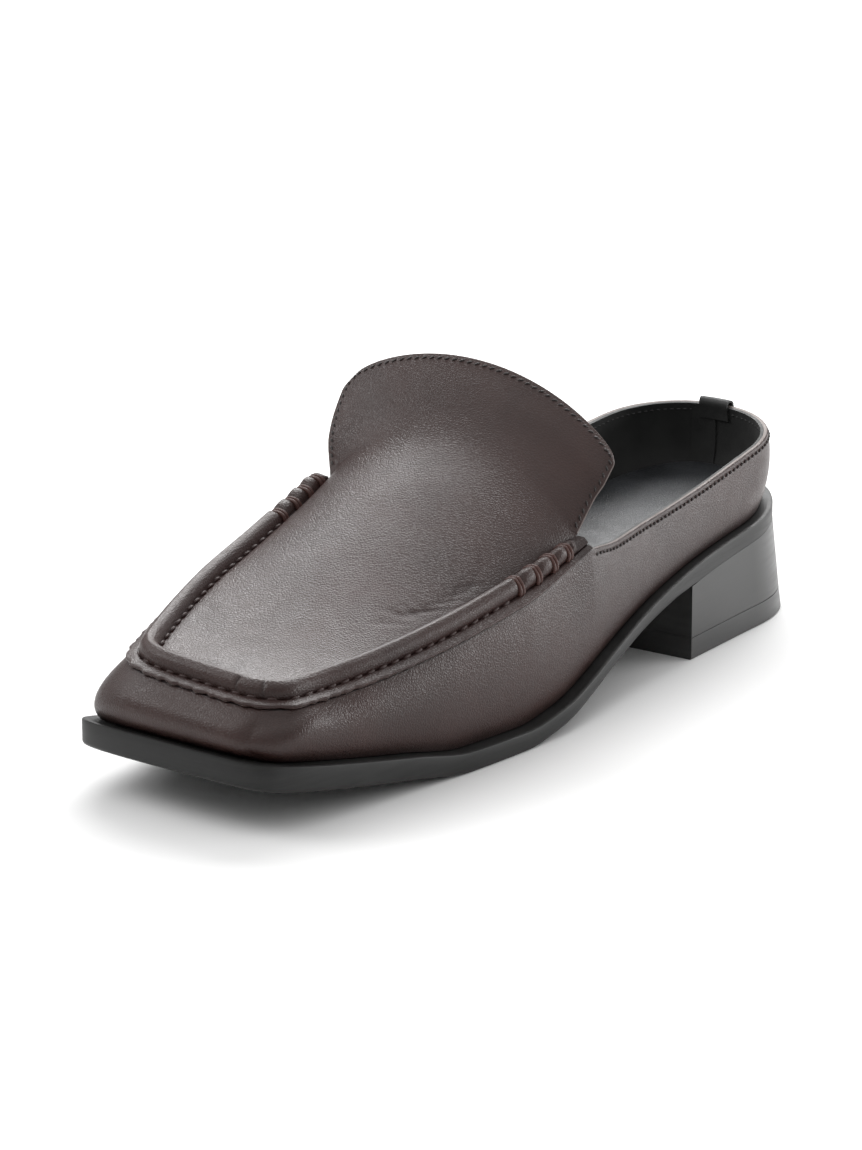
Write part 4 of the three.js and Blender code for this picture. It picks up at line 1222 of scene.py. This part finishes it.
lift, edge = form["topPiece"] + heel["topPieceGap"], heel["edge"]
heelTop = lambda back: underside(back) - heel["seatGap"]
upperRings = [heelRing(0, spreadAt(lift) * (1 - share), lambda b: lift + (heelTop(b) - lift) * share)
              for share in heel["rings"]]
addRings("block_heel", [
    heelRing(edge, spreadAt(lift), level(lift)), heelRing(0, spreadAt(lift), level(lift + edge)), *upperRings,
], blackHeel, ["heel_block"])
tall, floorEdge = form["topPiece"], heel["floorEdge"]
addRings("top_piece", [
    heelRing(floorEdge, 1, level(0)), heelRing(0, 1, level(floorEdge)),
    heelRing(0, spreadAt(tall), level(tall - edge)), heelRing(edge, spreadAt(tall), level(tall)),
], blackHeel, ["heel_top_piece"])
print("sole and heel built")

# The tab folded over the back of the topline
tab = {
    "width": 10.5, "depth": 8, "innerDepth": 4.5, "columns": 16, "rows": 8, "nearest": 0.05,
    "bendRows": 9, "bend": (0.12, 0.88), "outside": 0.62, "underside": 0.04,
}


def tabSheet(lift):
    # rows across the tab, each from its outer end over the topline to its inner end
    rows = []
    line = wallTop[(halfColumns + np.arange(-3 * fine, 3 * fine + 1)) % ringColumns]
    step = np.linalg.norm(np.diff(line, axis=0), axis=1).mean()
    depths = np.linspace(1, tab["nearest"], tab["rows"])
    radius = form["wall"] / 2 + lift
    for k in range(tab["columns"] + 1):
        place = halfColumns + (0.5 - k / tab["columns"]) * tab["width"] / step
        low, share = int(math.floor(place)), place - math.floor(place)
        pick = lambda line: line[low % ringColumns] * (1 - share) + line[(low + 1) % ringColumns] * share
        out, top, foot = pick(wallOut), pick(wallTop), pick(wallFoot)
        tall, middle = top[2] - foot[2], top - out * form["wall"] / 2
        outer = [pick(wallPoints(1 - d * tab["depth"] / tall)) + out * lift for d in depths]
        inner = [pick(wallPoints(1 - d * tab["innerDepth"] / tall)) - out * (form["wall"] + lift)
                 for d in depths[::-1]]
        bend = [middle + out * radius * math.cos(a) + up * radius * math.sin(a)
                for a in np.linspace(*tab["bend"], tab["bendRows"]) * math.pi]
        rows.append(outer + bend + inner)
    return np.array(rows)


over, under = tabSheet(tab["outside"]), tabSheet(tab["underside"])
index = np.arange(over.shape[0] * over.shape[1]).reshape(over.shape[:2])
addShell("back_tab", over, under, gridFaces(index), blackLining, ["heel_tab"])


# Floor, lights and camera
studio = {
    "horizon": 0.1, "zenith": 1.08, "top": 0.92, "strength": 0.95,
    "floorDark": (0.9, 0.9, 0.9, 1), "floorLight": (0.92, 0.92, 0.915, 1), "floorReach": 6,
}
lights = {  # place and target in metres, power in watts
    "overhead": {"place": (-0.5, 0.92, 0.92), "target": (0, 0, 0.03), "size": (1.25, 0.7), "power": 20},
    "back_fill": {"place": (1.0, 1.3, 0.28), "target": (0, 0, 0.04), "size": (1.1, 0.5), "power": 12},
    "front_fill": {"place": (-0.95, -0.5, 0.8), "target": (0, -0.05, 0.03), "size": (0.7, 0.5), "power": 5},
}
view = {
    "azimuth": 37.0, "elevation": 16.9, "distance": 1322.6, "right": 46.4, "up": 9.3,
    "from": (2.51, -2.27, 40), "aim": (-5, -11, 35), "lens": 150.3, "sensor": 36, "clip": (0.05, 50),
}


def aimAt(thing, place, target):
    thing.location = place
    thing.rotation_euler = (target - place).to_track_quat("-Z", "Y").to_euler()


def addLight(name, place, target, size, power):
    lamp = bpy.data.lights.new(name, "AREA")
    lamp.shape = "RECTANGLE"
    lamp.size, lamp.size_y = size
    lamp.energy = power
    aimAt(addObject(name, lamp), Vector(place), Vector(target))


def makePaleFloor():
    material, tree, shader = startMaterial("pale_floor", {"Roughness": 0.75})
    tone = remap(tree, noise(tree, objectPlace(tree), 9.0, 4.0, 0.6), 0.2, 0.8)
    colour = blendColours(tree, tone, studio["floorDark"], studio["floorLight"])
    wire(tree, colour, shader.inputs["Base Color"])
    return material


far = studio["floorReach"]
floorMesh = bpy.data.meshes.new("floor")
floorMesh.from_pydata([(-far, -far, 0), (far, -far, 0), (far, far, 0), (-far, far, 0)], [], [(0, 1, 2, 3)])
floorMesh.materials.append(makePaleFloor())
floor = addObject("floor", floorMesh)

world = bpy.data.worlds.new("studio")
bpy.context.scene.world = world
world.use_nodes = True
sky = world.node_tree
way = addNode(sky, "ShaderNodeTexCoord").outputs["Generated"]
height = addNode(sky, "ShaderNodeSeparateXYZ", None, {0: way})
glow = remap(sky, height.outputs["Z"], 0.0, studio["top"], studio["horizon"], studio["zenith"])
sky.links.new(glow, sky.nodes["Background"].inputs["Color"])
sky.nodes["Background"].inputs["Strength"].default_value = studio["strength"]
for name, values in lights.items():
    addLight(name, **values)

turn, tilt = math.radians(view["azimuth"]), math.radians(view["elevation"])
back = Vector((math.sin(turn) * math.cos(tilt), -math.cos(turn) * math.cos(tilt), math.sin(tilt)))
right = Vector((math.cos(turn), math.sin(turn), 0))
place = (Vector(view["from"]) - right * view["right"] - back.cross(right) * view["up"]
         + back * view["distance"])
lens = bpy.data.cameras.new("camera")
lens.sensor_width, lens.lens = view["sensor"], view["lens"]
lens.clip_start, lens.clip_end = view["clip"]
eye = addObject("camera", lens)
aimAt(eye, place * mm, Vector(view["aim"]) * mm)
bpy.context.scene.camera = eye
bpy.context.scene.view_settings.view_transform = "Standard"
print("studio set up")
